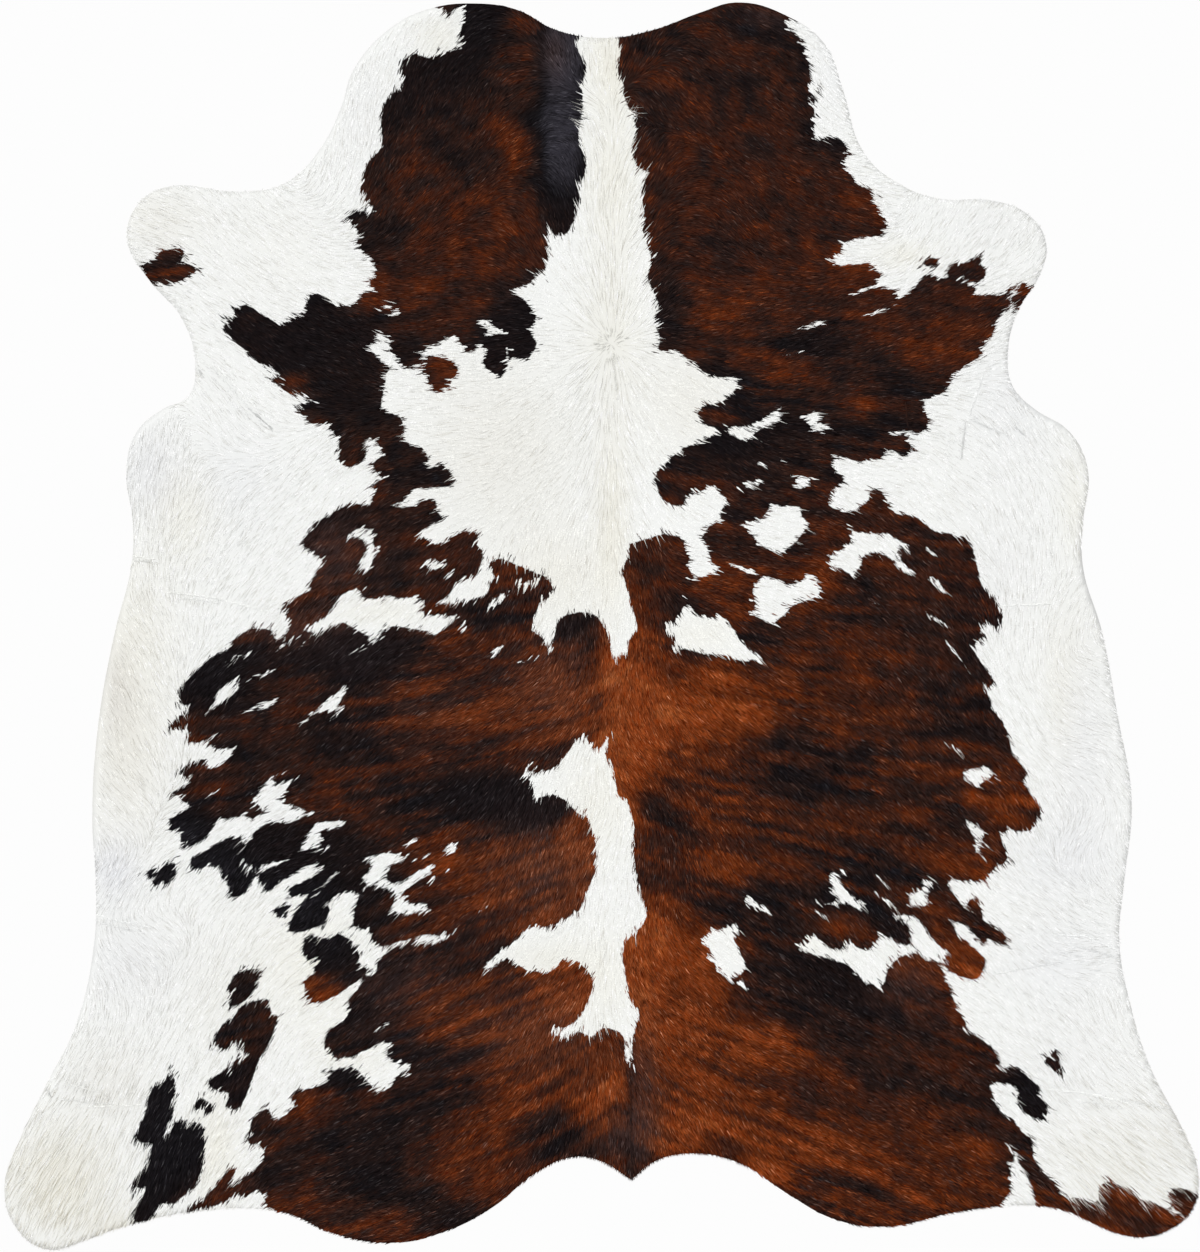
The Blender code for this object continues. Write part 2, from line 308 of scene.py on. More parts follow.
# The dark patches of the coat.
DARK_PATCHES = (
    Patch("left_side", (
        (-249, 1111), (-244, 1061), (-251, 1047), (-246, 1015), (-267, 1015), (-306, 1001), (-329, 1010),
        (-348, 1001), (-355, 989), (-357, 973), (-348, 964), (-355, 941), (-366, 943), (-383, 922),
        (-389, 888), (-385, 843), (-412, 818), (-424, 786), (-426, 769), (-420, 753), (-394, 728),
        (-433, 733), (-443, 728), (-449, 717), (-424, 691), (-436, 680), (-396, 626), (-412, 608),
        (-396, 589), (-420, 589), (-440, 562), (-475, 568), (-494, 585), (-505, 587), (-514, 582),
        (-526, 559), (-521, 548), (-540, 548), (-547, 539), (-569, 532), (-630, 569), (-651, 557),
        (-648, 546), (-669, 543), (-662, 534), (-671, 529), (-655, 508), (-606, 465), (-576, 453),
        (-560, 437), (-588, 439), (-581, 430), (-549, 409), (-537, 404), (-526, 409), (-507, 395),
        (-546, 390), (-512, 356), (-487, 356), (-479, 349), (-463, 328), (-463, 289), (-452, 280),
        (-442, 279), (-415, 296), (-413, 310), (-420, 326), (-410, 333), (-399, 328), (-385, 308),
        (-389, 296), (-408, 291), (-394, 266), (-383, 261), (-410, 243), (-401, 234), (-406, 224),
        (-396, 219), (-408, 213), (-443, 217), (-505, 182), (-526, 150), (-528, 139), (-510, 125),
        (-500, 125), (-489, 108), (-500, 99), (-516, 69), (-487, 67), (-517, 63), (-570, 32), (-554, 16),
        (-551, -9), (-560, -19), (-572, -26), (-579, -19), (-576, -12), (-588, -5), (-620, -4),
        (-651, -26), (-658, -42), (-685, -53), (-704, -69), (-748, -113), (-750, -123), (-743, -130),
        (-748, -141), (-738, -137), (-725, -143), (-757, -169), (-768, -185), (-731, -183), (-722, -189),
        (-732, -204), (-720, -206), (-706, -206), (-680, -192), (-690, -201), (-692, -212), (-669, -219),
        (-641, -213), (-669, -245), (-687, -252), (-701, -250), (-690, -236), (-702, -234), (-725, -240),
        (-750, -259), (-727, -268), (-731, -277), (-762, -296), (-740, -300), (-743, -307), (-725, -316),
        (-731, -324), (-769, -344), (-761, -351), (-768, -360), (-741, -363), (-743, -384), (-722, -434),
        (-690, -423), (-673, -428), (-676, -439), (-658, -455), (-660, -465), (-653, -479), (-630, -476),
        (-613, -441), (-606, -444), (-590, -472), (-563, -448), (-526, -427), (-514, -421), (-491, -427),
        (-510, -444), (-546, -457), (-554, -467), (-549, -479), (-517, -474), (-554, -527), (-551, -539),
        (-531, -541), (-487, -525), (-477, -497), (-486, -488), (-456, -471), (-426, -471), (-438, -504),
        (-438, -529), (-410, -538), (-401, -562), (-389, -566), (-308, -543), (-290, -548), (-256, -539),
        (-288, -561), (-302, -559), (-313, -564), (-320, -557), (-338, -557), (-375, -573), (-394, -589),
        (-398, -610), (-419, -626), (-450, -663), (-447, -691), (-486, -717), (-491, -747), (-468, -763),
        (-443, -762), (-387, -733), (-375, -735), (-380, -760), (-373, -769), (-346, -776), (-332, -772),
        (-341, -781), (-329, -786), (-360, -790), (-373, -814), (-396, -823), (-431, -781), (-443, -777),
        (-496, -786), (-477, -797), (-486, -806), (-517, -818), (-533, -813), (-551, -834), (-539, -839),
        (-544, -851), (-576, -873), (-588, -851), (-598, -850), (-616, -867), (-625, -910), (-614, -915),
        (-606, -910), (-591, -933), (-613, -962), (-639, -978), (-643, -1005), (-628, -1008), (-606, -992),
        (-598, -1003), (-588, -1026), (-588, -1118), (54, -1118), (56, -483), (22, -71), (11, -14),
        (-6, 16), (-20, 23), (-34, 26), (-64, 19), (-77, 11), (-91, -53), (-103, -21), (-124, -7),
        (-110, 41), (-89, 51), (-84, 62), (-93, 85), (-179, 120), (-202, 113), (-200, 102), (-184, 85),
        (-197, 81), (-202, 71), (-197, 56), (-258, 39), (-274, 39), (-285, 46), (-274, 49), (-251, 79),
        (-225, 85), (-218, 93), (-207, 130), (-223, 146), (-214, 167), (-256, 166), (-269, 159),
        (-276, 145), (-292, 143), (-313, 155), (-320, 166), (-299, 180), (-283, 183), (-278, 192),
        (-295, 206), (-290, 213), (-292, 224), (-320, 224), (-323, 215), (-350, 208), (-373, 213),
        (-346, 222), (-332, 243), (-272, 245), (-260, 249), (-256, 257), (-279, 286), (-297, 279),
        (-308, 287), (-304, 298), (-318, 317), (-346, 324), (-352, 331), (-346, 344), (-353, 367),
        (-387, 384), (-392, 393), (-383, 404), (-387, 414), (-380, 425), (-380, 448), (-369, 457),
        (-390, 467), (-405, 485), (-426, 499), (-401, 499), (-390, 504), (-396, 513), (-390, 518),
        (-371, 506), (-375, 487), (-355, 455), (-334, 450), (-323, 455), (-313, 488), (-264, 511),
        (-253, 508), (-241, 485), (-230, 481), (-214, 495), (-207, 487), (-209, 464), (-204, 453),
        (-179, 437), (-165, 455), (-170, 499), (-156, 474), (-130, 467), (-112, 497), (-130, 524),
        (-112, 539), (-114, 546), (-135, 575), (-165, 591), (-126, 603), (-115, 619), (-103, 617),
        (-91, 654), (-100, 689), (-91, 695), (-73, 686), (-59, 693), (-43, 728), (-38, 756), (-41, 769),
        (-27, 804), (-27, 825), (-40, 848), (-41, 866), (-33, 913), (-33, 941), (-41, 950), (-33, 955),
        (-27, 984), (-45, 1024), (-38, 1040), (-38, 1111),
    )),
    Patch("right_side", (
        (26, 1111), (26, 1037), (34, 1007), (27, 977), (41, 952), (36, 943), (64, 874), (52, 836),
        (63, 809), (87, 799), (78, 790), (70, 763), (77, 716), (71, 702), (89, 645), (80, 613), (103, 564),
        (91, 536), (105, 506), (98, 492), (103, 483), (133, 485), (193, 437), (235, 439), (244, 427),
        (218, 397), (175, 386), (168, 374), (179, 354), (205, 349), (253, 351), (279, 360), (320, 388),
        (311, 368), (318, 363), (276, 346), (258, 328), (244, 328), (212, 346), (202, 342), (193, 333),
        (140, 312), (98, 273), (93, 261), (105, 224), (130, 210), (144, 213), (147, 224), (195, 247),
        (223, 222), (209, 201), (211, 187), (184, 173), (182, 160), (174, 155), (184, 146), (195, 109),
        (212, 106), (209, 99), (158, 79), (163, 86), (151, 106), (156, 120), (154, 134), (144, 146),
        (145, 157), (108, 162), (52, 146), (47, 137), (48, 123), (36, 99), (64, -2), (47, -28), (47, -53),
        (34, -46), (24, -71), (8, -130), (30, -483), (40, -1118), (1073, -1118), (1073, -1012),
        (1034, -994), (1011, -989), (1002, -994), (1006, -1005), (995, -1010), (1022, -1035),
        (1018, -1042), (970, -1015), (946, -1010), (928, -991), (886, -977), (875, -994), (882, -1022),
        (835, -1007), (826, -1012), (814, -1003), (762, -941), (761, -918), (759, -904), (743, -894),
        (732, -880), (724, -864), (713, -867), (704, -857), (695, -839), (688, -821), (680, -807),
        (699, -804), (717, -809), (734, -813), (736, -825), (731, -837), (741, -855), (761, -867),
        (777, -873), (787, -858), (787, -848), (773, -832), (773, -814), (752, -795), (731, -777),
        (711, -777), (704, -788), (699, -777), (706, -774), (702, -762), (690, -746), (676, -733),
        (641, -712), (646, -703), (628, -677), (597, -594), (570, -589), (558, -576), (526, -583),
        (505, -603), (498, -633), (491, -642), (482, -629), (470, -635), (433, -596), (350, -573),
        (336, -561), (364, -562), (364, -550), (378, -548), (408, -571), (431, -571), (429, -559),
        (472, -575), (493, -543), (535, -566), (546, -561), (547, -548), (539, -525), (526, -515),
        (540, -508), (561, -518), (595, -564), (618, -575), (598, -587), (614, -606), (627, -617),
        (653, -624), (667, -621), (678, -592), (671, -580), (628, -545), (614, -517), (644, -527),
        (669, -559), (690, -554), (717, -566), (720, -555), (706, -538), (673, -517), (665, -481),
        (657, -474), (639, -497), (611, -460), (609, -450), (618, -446), (683, -455), (680, -442),
        (699, -421), (720, -420), (702, -368), (724, -356), (734, -363), (761, -361), (777, -328),
        (743, -275), (752, -259), (724, -227), (718, -192), (706, -166), (687, -145), (688, -134),
        (674, -113), (678, -106), (688, -109), (694, -100), (653, -39), (662, -35), (658, -21), (667, -28),
        (678, -28), (669, -4), (674, 9), (704, -7), (708, 19), (690, 51), (671, 69), (655, 137),
        (639, 159), (627, 157), (614, 164), (584, 167), (561, 189), (531, 199), (519, 197), (493, 238),
        (480, 242), (472, 240), (473, 227), (468, 217), (438, 201), (406, 208), (399, 217), (429, 257),
        (408, 282), (415, 301), (456, 289), (482, 294), (494, 291), (500, 300), (498, 312), (509, 314),
        (530, 298), (551, 308), (530, 346), (561, 338), (572, 346), (579, 356), (569, 384), (570, 398),
        (604, 411), (635, 455), (673, 478), (676, 487), (669, 490), (692, 515), (695, 539), (704, 550),
        (724, 561), (731, 552), (773, 592), (740, 608), (722, 599), (715, 583), (655, 583), (660, 591),
        (657, 599), (627, 610), (637, 617), (655, 605), (669, 605), (681, 624), (678, 633), (669, 636),
        (669, 656), (643, 638), (632, 642), (611, 635), (609, 624), (614, 615), (604, 612), (579, 621),
        (556, 612), (560, 606), (554, 596), (524, 578), (521, 589), (512, 594), (484, 596), (493, 617),
        (487, 629), (472, 640), (420, 635), (399, 645), (420, 654), (426, 675), (452, 684), (494, 687),
        (507, 710), (479, 749), (480, 760), (475, 769), (454, 779), (436, 799), (426, 818), (438, 837),
        (419, 862), (396, 864), (376, 850), (375, 925), (392, 955), (364, 927), (369, 959), (364, 1010),
        (350, 1037), (327, 1056), (322, 1068), (353, 1065), (353, 1111),
    )),
    Patch("left_shoulder_island", (
        (-318, 464), (-313, 474), (-299, 479), (-271, 469), (-260, 469), (-256, 457), (-249, 451),
        (-265, 432), (-267, 421), (-274, 414), (-288, 412), (-302, 418), (-309, 437), (-318, 448),
    )),
    Patch("left_foreleg_spot", (
        (-792, 659), (-740, 668), (-732, 665), (-741, 659), (-736, 654), (-741, 645), (-757, 640),
        (-725, 638), (-711, 626), (-747, 606), (-769, 601), (-778, 606), (-787, 601), (-803, 603),
        (-817, 629), (-810, 638), (-784, 647),
    )),
    Patch("left_neck_sliver", (
        (-297, 1088), (-285, 1100), (-246, 1104), (-246, 1091), (-258, 1089), (-269, 1074), (-279, 1089),
    )),
    Patch("left_belly_spot", (
        (-808, -435), (-792, -427), (-778, -427), (-757, -412), (-747, -416), (-757, -427), (-747, -435),
        (-754, -448), (-764, -455), (-778, -455), (-787, -464), (-792, -450),
    )),
    Patch("left_stifle_spot", (
        (-579, -502), (-574, -497), (-556, -490), (-547, -490), (-553, -499), (-551, -509), (-560, -517),
        (-570, -517),
    )),
    Patch("left_thigh_island", (
        (-523, -554), (-516, -545), (-479, -552), (-466, -541), (-440, -554), (-426, -580), (-429, -592),
        (-408, -610), (-473, -656), (-502, -666), (-514, -663), (-523, -656), (-524, -628), (-507, -608),
        (-503, -596), (-509, -589), (-521, -589), (-526, -580), (-528, -566),
    )),
    Patch("left_shank_upper_spot", (
        (-655, -631), (-651, -619), (-641, -610), (-606, -603), (-597, -608), (-604, -617), (-607, -642),
        (-646, -672), (-657, -670), (-660, -658), (-650, -647), (-660, -642),
    )),
    Patch("left_shank_island", (
        (-641, -677), (-628, -665), (-588, -656), (-581, -686), (-569, -687), (-586, -737), (-604, -765),
        (-627, -832), (-644, -857), (-664, -848), (-658, -836), (-660, -820), (-673, -823), (-695, -809),
        (-694, -797), (-674, -790), (-657, -774), (-655, -800), (-650, -769), (-641, -760), (-625, -765),
        (-644, -730), (-662, -747), (-687, -740), (-671, -703), (-650, -691),
    )),
    Patch("left_shank_dot", (
        (-721, -851), (-711, -833), (-701, -831), (-693, -841), (-681, -842), (-686, -855), (-698, -865),
        (-705, -852),
    )),
    Patch("left_foot_patch", (
        (-769, -806), (-762, -781), (-752, -800), (-750, -825), (-757, -834), (-755, -858), (-773, -899),
        (-764, -894), (-752, -873), (-740, -869), (-729, -878), (-715, -873), (-704, -878), (-699, -910),
        (-702, -945), (-711, -980), (-722, -994), (-757, -1021), (-778, -1017), (-789, -1038),
        (-814, -1058), (-828, -1042), (-801, -991), (-824, -991), (-826, -980), (-798, -947), (-799, -933),
        (-792, -924), (-792, -911), (-815, -911), (-824, -896), (-805, -864), (-796, -823), (-787, -809),
    )),
    Patch("left_heel_patch", (
        (-732, -1037), (-722, -1022), (-697, -1005), (-673, -980), (-665, -966), (-657, -957),
        (-644, -952), (-646, -966), (-653, -977), (-648, -984), (-644, -998), (-651, -1008), (-699, -1033),
    )),
    Patch("right_foreleg_spot", (
        (560, 642), (583, 652), (593, 647), (598, 638), (584, 629),
    )),
    Patch("right_shank_spot", (
        (780, -756), (791, -760), (799, -746), (806, -753), (808, -769), (812, -784), (814, -795),
        (801, -788), (787, -774), (777, -763),
    )),
)

# Islands of white hair in the dark patches.
WHITE_PATCHES = (
    Patch("lower_spine", (
        (-33, -199), (-38, -197), (-47, -206), (-78, -249), (-114, -261), (-133, -250), (-138, -259),
        (-123, -277), (-115, -300), (-123, -307), (-87, -296), (-63, -307), (-43, -330), (-24, -337),
        (-10, -381), (-8, -427), (-40, -504), (-89, -531), (-130, -531), (-145, -550), (-209, -599),
        (-200, -610), (-167, -585), (-130, -608), (-114, -608), (-100, -615), (-77, -601), (-68, -589),
        (-43, -589), (-22, -610), (-15, -624), (-15, -642), (-38, -691), (-59, -707), (-85, -710),
        (-91, -717), (-68, -725), (-41, -714), (-17, -725), (1, -707), (24, -712), (34, -717), (41, -730),
        (41, -765), (56, -776), (54, -735), (68, -680), (52, -663), (36, -589), (41, -557), (70, -531),
        (82, -508), (63, -457), (56, -395), (57, -346), (48, -312), (40, -312), (29, -298), (20, -245),
        (6, -227), (17, -189), (-6, -219), (-17, -217), (-27, -196),
    )),
    Patch("left_shoulder_nick", (
        (-376, 548), (-369, 555), (-362, 557), (-355, 548),
    )),
    Patch("left_shoulder_gap", (
        (-214, 539), (-205, 541), (-175, 518), (-202, 511), (-200, 522),
    )),
    Patch("left_girth_arc", (
        (-454, 153), (-433, 171), (-419, 173), (-406, 169), (-401, 159), (-405, 146), (-389, 132),
        (-403, 125), (-406, 102), (-417, 97), (-427, 102), (-412, 139), (-424, 155), (-436, 157),
    )),
    Patch("left_girth_gap", (
        (-315, 108), (-308, 118), (-295, 120), (-290, 113), (-274, 104), (-283, 102), (-288, 97),
        (-299, 99), (-306, 106),
    )),
    Patch("left_back_gap", (
        (-200, 35), (-181, 53), (-158, 60), (-186, 35),
    )),
    Patch("left_saddle_gap", (
        (-427, 63), (-435, 67), (-461, 53), (-487, 14), (-526, -7), (-500, -12), (-456, 7), (-399, -25),
        (-383, -4), (-364, 0), (-306, -9), (-292, -18), (-256, 11), (-255, 18), (-311, 18), (-318, 26),
        (-313, 35), (-318, 49), (-360, 49), (-369, 56), (-380, 48), (-419, 48),
    )),
    Patch("left_saddle_cut", (
        (-683, -125), (-669, -108), (-634, -83), (-646, -102), (-637, -106), (-643, -116), (-685, -146),
        (-704, -155), (-676, -129),
    )),
    Patch("left_saddle_dash", (
        (-621, -152), (-604, -136), (-576, -130), (-583, -141), (-593, -146), (-606, -146),
    )),
    Patch("left_saddle_fleck", (
        (-524, -166), (-466, -116), (-445, -106), (-454, -116), (-456, -127), (-463, -134), (-459, -143),
        (-470, -148), (-498, -153),
    )),
    Patch("left_back_speck", (
        (-197, -44), (-188, -39), (-179, -42), (-190, -60),
    )),
    Patch("left_belly_band", (
        (-750, -397), (-708, -381), (-695, -370), (-680, -349), (-692, -344), (-625, -333), (-628, -338),
        (-620, -342), (-590, -326), (-618, -307), (-607, -300), (-588, -268), (-561, -257), (-583, -273),
        (-572, -279), (-531, -266), (-547, -277), (-569, -305), (-563, -314), (-535, -319), (-512, -331),
        (-553, -349), (-584, -344), (-620, -368), (-616, -377), (-628, -386), (-635, -383), (-632, -372),
        (-657, -372), (-732, -416), (-750, -416),
    )),
    Patch("left_belly_wedge", (
        (-641, -409), (-632, -418), (-616, -425), (-598, -421), (-576, -416), (-553, -411), (-574, -423),
        (-598, -432), (-616, -432), (-630, -427),
    )),
    Patch("left_belly_hook", (
        (-517, -368), (-503, -347), (-449, -342), (-457, -353), (-468, -358), (-486, -358), (-500, -365),
        (-494, -374), (-502, -383), (-493, -390), (-475, -391), (-487, -398), (-517, -391), (-531, -397),
        (-528, -383), (-519, -375),
    )),
    Patch("left_stifle_gap", (
        (-422, -409), (-382, -400), (-339, -405), (-373, -423), (-378, -432), (-380, -442), (-373, -453),
        (-360, -455), (-302, -421), (-299, -427), (-306, -437), (-355, -471), (-352, -483), (-331, -495),
        (-309, -485), (-306, -508), (-318, -504), (-341, -509), (-368, -502), (-369, -494), (-360, -474),
        (-369, -467), (-380, -467), (-399, -455), (-419, -464), (-415, -453), (-422, -446), (-406, -427),
        (-408, -414),
    )),
    Patch("left_rump_fleck", (
        (-279, -398), (-271, -391), (-272, -383), (-260, -386), (-255, -405),
    )),
    Patch("right_girth_ring", (
        (237, 176), (286, 190), (301, 219), (308, 212), (353, 210), (350, 197), (366, 180), (345, 150),
        (316, 127), (278, 143), (258, 173),
    )),
    Patch("right_girth_star", (
        (265, 67), (288, 88), (311, 83), (332, 71), (355, 78), (360, 85), (357, 92), (371, 93), (390, 55),
        (332, 35), (323, 16), (313, 16), (301, 0), (262, 23), (274, 30),
    )),
    Patch("right_girth_link", (
        (212, 106), (235, 111), (288, 88), (274, 88), (235, 104),
    )),
    Patch("right_back_gap", (
        (112, -4), (135, 11), (149, 46), (168, 19), (195, 12), (209, 18), (221, 11), (244, -26),
        (290, -62), (244, -62), (218, -51), (179, -49), (142, -39), (123, -55), (133, -33), (130, -21),
    )),
    Patch("right_flank_arch", (
        (438, 178), (456, 164), (502, 162), (526, 152), (547, 136), (521, 136), (530, 111), (549, 97),
        (535, 93), (523, 99), (510, 120), (487, 129), (472, 129), (459, 122), (457, 111), (463, 104),
        (450, 99), (442, 86), (426, 100), (408, 102), (401, 125), (435, 139), (443, 162),
    )),
    Patch("right_shoulder_gap", (
        (339, 268), (371, 261), (369, 254), (352, 242), (345, 245),
    )),
    Patch("right_armpit_gap", (
        (359, 372), (376, 379), (383, 370), (380, 361), (399, 351), (390, 344), (376, 342), (360, 361),
    )),
    Patch("right_shoulder_fleck", (
        (352, 524), (371, 536), (385, 538), (396, 534), (359, 522),
    )),
    Patch("right_flank_nick", (
        (574, 85), (588, 88), (607, 63), (602, 60),
    )),
    Patch("right_belly_notch", (
        (635, -250), (653, -252), (678, -247), (688, -254), (694, -263), (685, -270), (676, -271),
        (662, -286), (641, -268),
    )),
    Patch("right_belly_wedge", (
        (641, -340), (653, -346), (678, -365), (673, -374), (674, -384), (665, -393), (674, -409),
        (694, -423), (664, -405), (658, -395), (662, -383),
    )),
    Patch("right_stifle_cut", (
        (540, -469), (553, -472), (565, -465), (581, -444), (588, -451), (572, -471), (577, -483),
        (576, -495), (549, -492), (539, -487), (544, -478),
    )),
    Patch("right_stifle_hook", (
        (405, -465), (408, -453), (415, -448), (438, -474), (473, -494), (459, -497), (452, -502),
        (442, -494), (420, -485),
    )),
    Patch("right_rump_dash", (
        (256, -479), (265, -481), (283, -497), (306, -506), (267, -499), (258, -490),
    )),
    Patch("right_rump_gap", (
        (175, -550), (186, -548), (193, -538), (230, -531), (239, -522), (246, -531), (234, -546),
        (244, -583), (258, -601), (241, -619), (227, -622), (214, -617), (200, -594), (188, -587),
        (197, -582),
    )),
    Patch("right_heel_wedge", (
        (717, -908), (731, -927), (734, -941), (757, -984), (773, -1038), (708, -1038), (708, -1014),
        (724, -994), (720, -982), (724, -971), (720, -959), (725, -945),
    )),
)

# Slim flecks of white hair in the dark patches.
WHITE_FLECKS = [Fleck(*row) for row in (
    (-373, 565, 12, 5, 37), (-269, 90, 15, 5, 18), (-137, 72, 38, 7, 12), (-244, -3, 14, 7, 9),
    (-642, -56, 39, 5, 18), (-595, -85, 26, 5, 23), (-560, -33, 27, 5, 27), (-526, -34, 17, 7, 40),
    (-470, -159, 28, 5, 45), (-410, -32, 38, 5, 24), (-141, -63, 20, 5, 13), (-686, -299, 19, 5, 36),
    (-479, -448, 42, 7, 47), (-308, -404, 23, 5, 22), (-328, -377, 18, 5, 30), (-224, -507, 22, 5, 29),
    (-272, -450, 11, 5, 27), (-290, -439, 19, 5, 27), (-390, -710, 24, 5, 38), (267, 250, 30, 7, 23),
    (294, 286, 16, 5, 16), (491, 555, 34, 7, 21), (461, 592, 23, 7, 22), (334, 481, 22, 5, 11),
    (524, 342, 18, 7, 30), (727, 585, 29, 7, 56), (727, 566, 26, 7, 18), (583, 128, 22, 5, -45),
    (580, 19, 24, 5, -36), (486, 38, 18, 5, -27), (621, -44, 22, 5, -51), (624, -217, 21, 5, -36),
    (529, -200, 20, 6, -42), (579, -238, 14, 4, -31), (420, -439, 24, 7, 31), (409, -489, 27, 5, 4),
    (387, -508, 16, 5, -34), (497, -450, 20, 5, -41), (502, -484, 31, 7, -35), (524, -515, 20, 7, -41),
    (251, -633, 26, 9, -51),
)]

# Creases and folds of the hide, with painted shade along and beside them and painted highlights on ridges.
CREASES = (
    Crease("whorl", 17, 497, 20, 492, 8, 2.2, 0.4),
    Crease("whorl_part", 19, 488, 27, 404, 7, 0.6, 0.14),
    Crease("left_flank_slope", -694, 465, -628, 390, 13, 1.2, 0.07, 0.09, -9),
    Crease("left_flank_crease", -629, 390, -588, 354, 9, 2.0, 0.42, 0.12, -6),
    Crease("left_flank_nick", -597, 363, -585, 351, 5, 1.0, 0.6),
    Crease("left_flank_ridge", -683, 463, -595, 371, 6, -0.6, -0.06),
    Crease("left_girth_ridge", -828, 124, -790, 118, 6, -0.8, -0.06),
    Crease("left_girth_line", -828, 116, -787, 112, 6, 1.0, 0.16, 0.04),
    Crease("left_belly_ridge", -770, 60, -687, 51, 6, -0.8, -0.06),
    Crease("left_belly_ridge_end", -687, 51, -584, 25, 6, -0.5, -0.04),
    Crease("left_belly_line", -750, 51, -681, 42, 7, 0.9, 0.08),
    Crease("left_hind_shadow", -937, -809, -884, -821, 11, 0.8, 0.05, 0.08),
    Crease("left_hind_bump", -966, -802, -950, -816, 14, -1.4),
    Crease("left_hind_line", -955, -834, -863, -843, 8, 1.5, 0.14, 0.05),
    Crease("left_hind_ridge", -910, -848, -813, -844, 8, -0.8, -0.04),
    Crease("left_hind_nick", -982, -813, -972, -829, 6, 1.0, 0.3),
    Crease("left_armpit_nick", -713, 455, -706, 444, 5, 0.8, 0.42),
    Crease("left_foreleg_nick", -757, 571, -743, 559, 8, 1.2, 0.12),
    Crease("left_neck_fold", -567, 776, -546, 762, 8, 1.3, 0.18),
    Crease("left_belly_fold", -893, -509, -849, -520, 7, -0.8, -0.06),
    Crease("left_belly_fold_end", -849, -520, -796, -531, 7, -0.6, -0.04),
    Crease("left_belly_fold_line", -888, -522, -814, -540, 8, 0.9, 0.1, 0.04),
    Crease("right_armpit_line", 535, 398, 540, 354, 8, 0.9, 0.08),
    Crease("right_girth_ridge", 674, 448, 650, 377, 7, -0.9, -0.06),
    Crease("right_girth_line", 642, 364, 635, 301, 8, 1.4, 0.3, 0.1, -4),
    Crease("right_girth_shadow", 597, 345, 628, 296, 15, 0.5, 0.0, 0.08),
    Crease("right_girth_branch", 646, 367, 702, 342, 6, 1.0, 0.18),
    Crease("right_girth_nick", 723, 354, 745, 338, 6, 0.8, 0.34),
    Crease("right_belly_ridge", 702, 35, 784, 39, 6, -0.7, -0.06),
    Crease("right_stifle_ridge", 791, -545, 852, -546, 9, -1.0, -0.05),
    Crease("right_stifle_ridge_end", 852, -546, 907, -571, 8, -1.0, -0.05),
    Crease("right_stifle_line", 829, -562, 910, -585, 8, 1.2, 0.16, 0.05),
    Crease("right_belly_line", 685, -615, 808, -592, 10, 0.8, 0.05),
    Crease("right_hind_ridge", 782, -816, 852, -823, 7, -0.9, -0.06),
    Crease("right_hind_ridge_end", 852, -823, 932, -841, 7, -0.9, -0.05),
    Crease("right_hind_line", 843, -836, 914, -850, 8, 1.2, 0.1, 0.04),
    Crease("right_hind_branch", 910, -834, 995, -850, 7, 1.0, 0.14, 0.04),
    Crease("neck_spine", 10, 1033, 15, 892, 16, 0.6),
    Crease("lower_spine", 19, -60, 47, -924, 18, -0.6),
    Crease("tail_crease", 50, -769, 54, -970, 6, 1.3, 0.45, 0.2),
)

# Faint tints over the white coat: cream, and grey as painted shade of the hide's soft waves.
WHITE_TINTS = [Tint(*row) for row in (
    (-778, 716, 78, 53, 0.44, 0.15), (-567, 663, 88, 88, 0.16, 0.05), (-796, 275, 49, 71, 0.08, 0.45),
    (-734, 196, 46, 71, 0.48, 0), (-646, 257, 71, 88, 0, 0.25), (-831, -25, 71, 141, 0.6, 0.1),
    (-840, -236, 71, 123, 0.64, 0.25), (-852, -113, 25, 71, 0.4, 0.5), (-858, -430, 46, 53, 0, 0.6),
    (-831, -589, 88, 71, 0.08, 0.35), (-673, -659, 71, 106, 0.32, 0.15), (-514, -589, 88, 106, 0.48, 0),
    (-443, -747, 71, 53, 0.4, 0), (-955, -977, 88, 88, 0.9, 0.2), (-866, -800, 71, 71, 0.4, 0.25),
    (-681, -924, 42, 88, 0.72, 0.1), (-831, -1056, 71, 28, 0.64, 0.2), (19, 998, 42, 71, 0.8, 0.1),
    (19, 786, 46, 159, 0.64, 0), (19, 522, 53, 106, 0.48, 0.05), (19, 187, 28, 159, 0.72, 0.05),
    (-179, 310, 141, 159, 0.56, 0.25), (156, 398, 88, 106, 0.48, 0.15), (-73, 81, 88, 88, 0.56, 0.1),
    (-285, 1037, 42, 35, 0.48, 0.1), (-426, 910, 42, 88, 0.08, 0.2), (535, 654, 53, 25, 0.48, 0),
    (685, 707, 71, 42, 0.08, 0.15), (420, 998, 42, 88, 0, 0.2), (720, 398, 71, 106, 0, 0.25),
    (835, 222, 28, 88, 0.4, 0), (702, 116, 71, 106, 0.08, 0.2), (826, -25, 53, 88, 0.24, 0.1),
    (844, -236, 53, 159, 0.08, 0.3), (808, -130, 28, 106, 0.32, 0), (808, -412, 106, 71, 0, 0.3),
    (808, -589, 106, 71, 0, 0.3), (808, -765, 106, 88, 0.08, 0.2), (896, -941, 106, 71, 0.32, 0.1),
    (1020, -871, 35, 71, 0.32, 0.3), (-3, -307, 71, 106, 0.48, 0), (-3, -624, 71, 88, 0.48, 0),
    (-108, -589, 71, 35, 0.48, 0.1), (-390, 25, 88, 25, 0.4, 0), (174, -16, 71, 35, 0.4, 0),
    (350, -554, 106, 53, 0.32, 0), (-531, -360, 88, 71, 0, 0.15),
)]

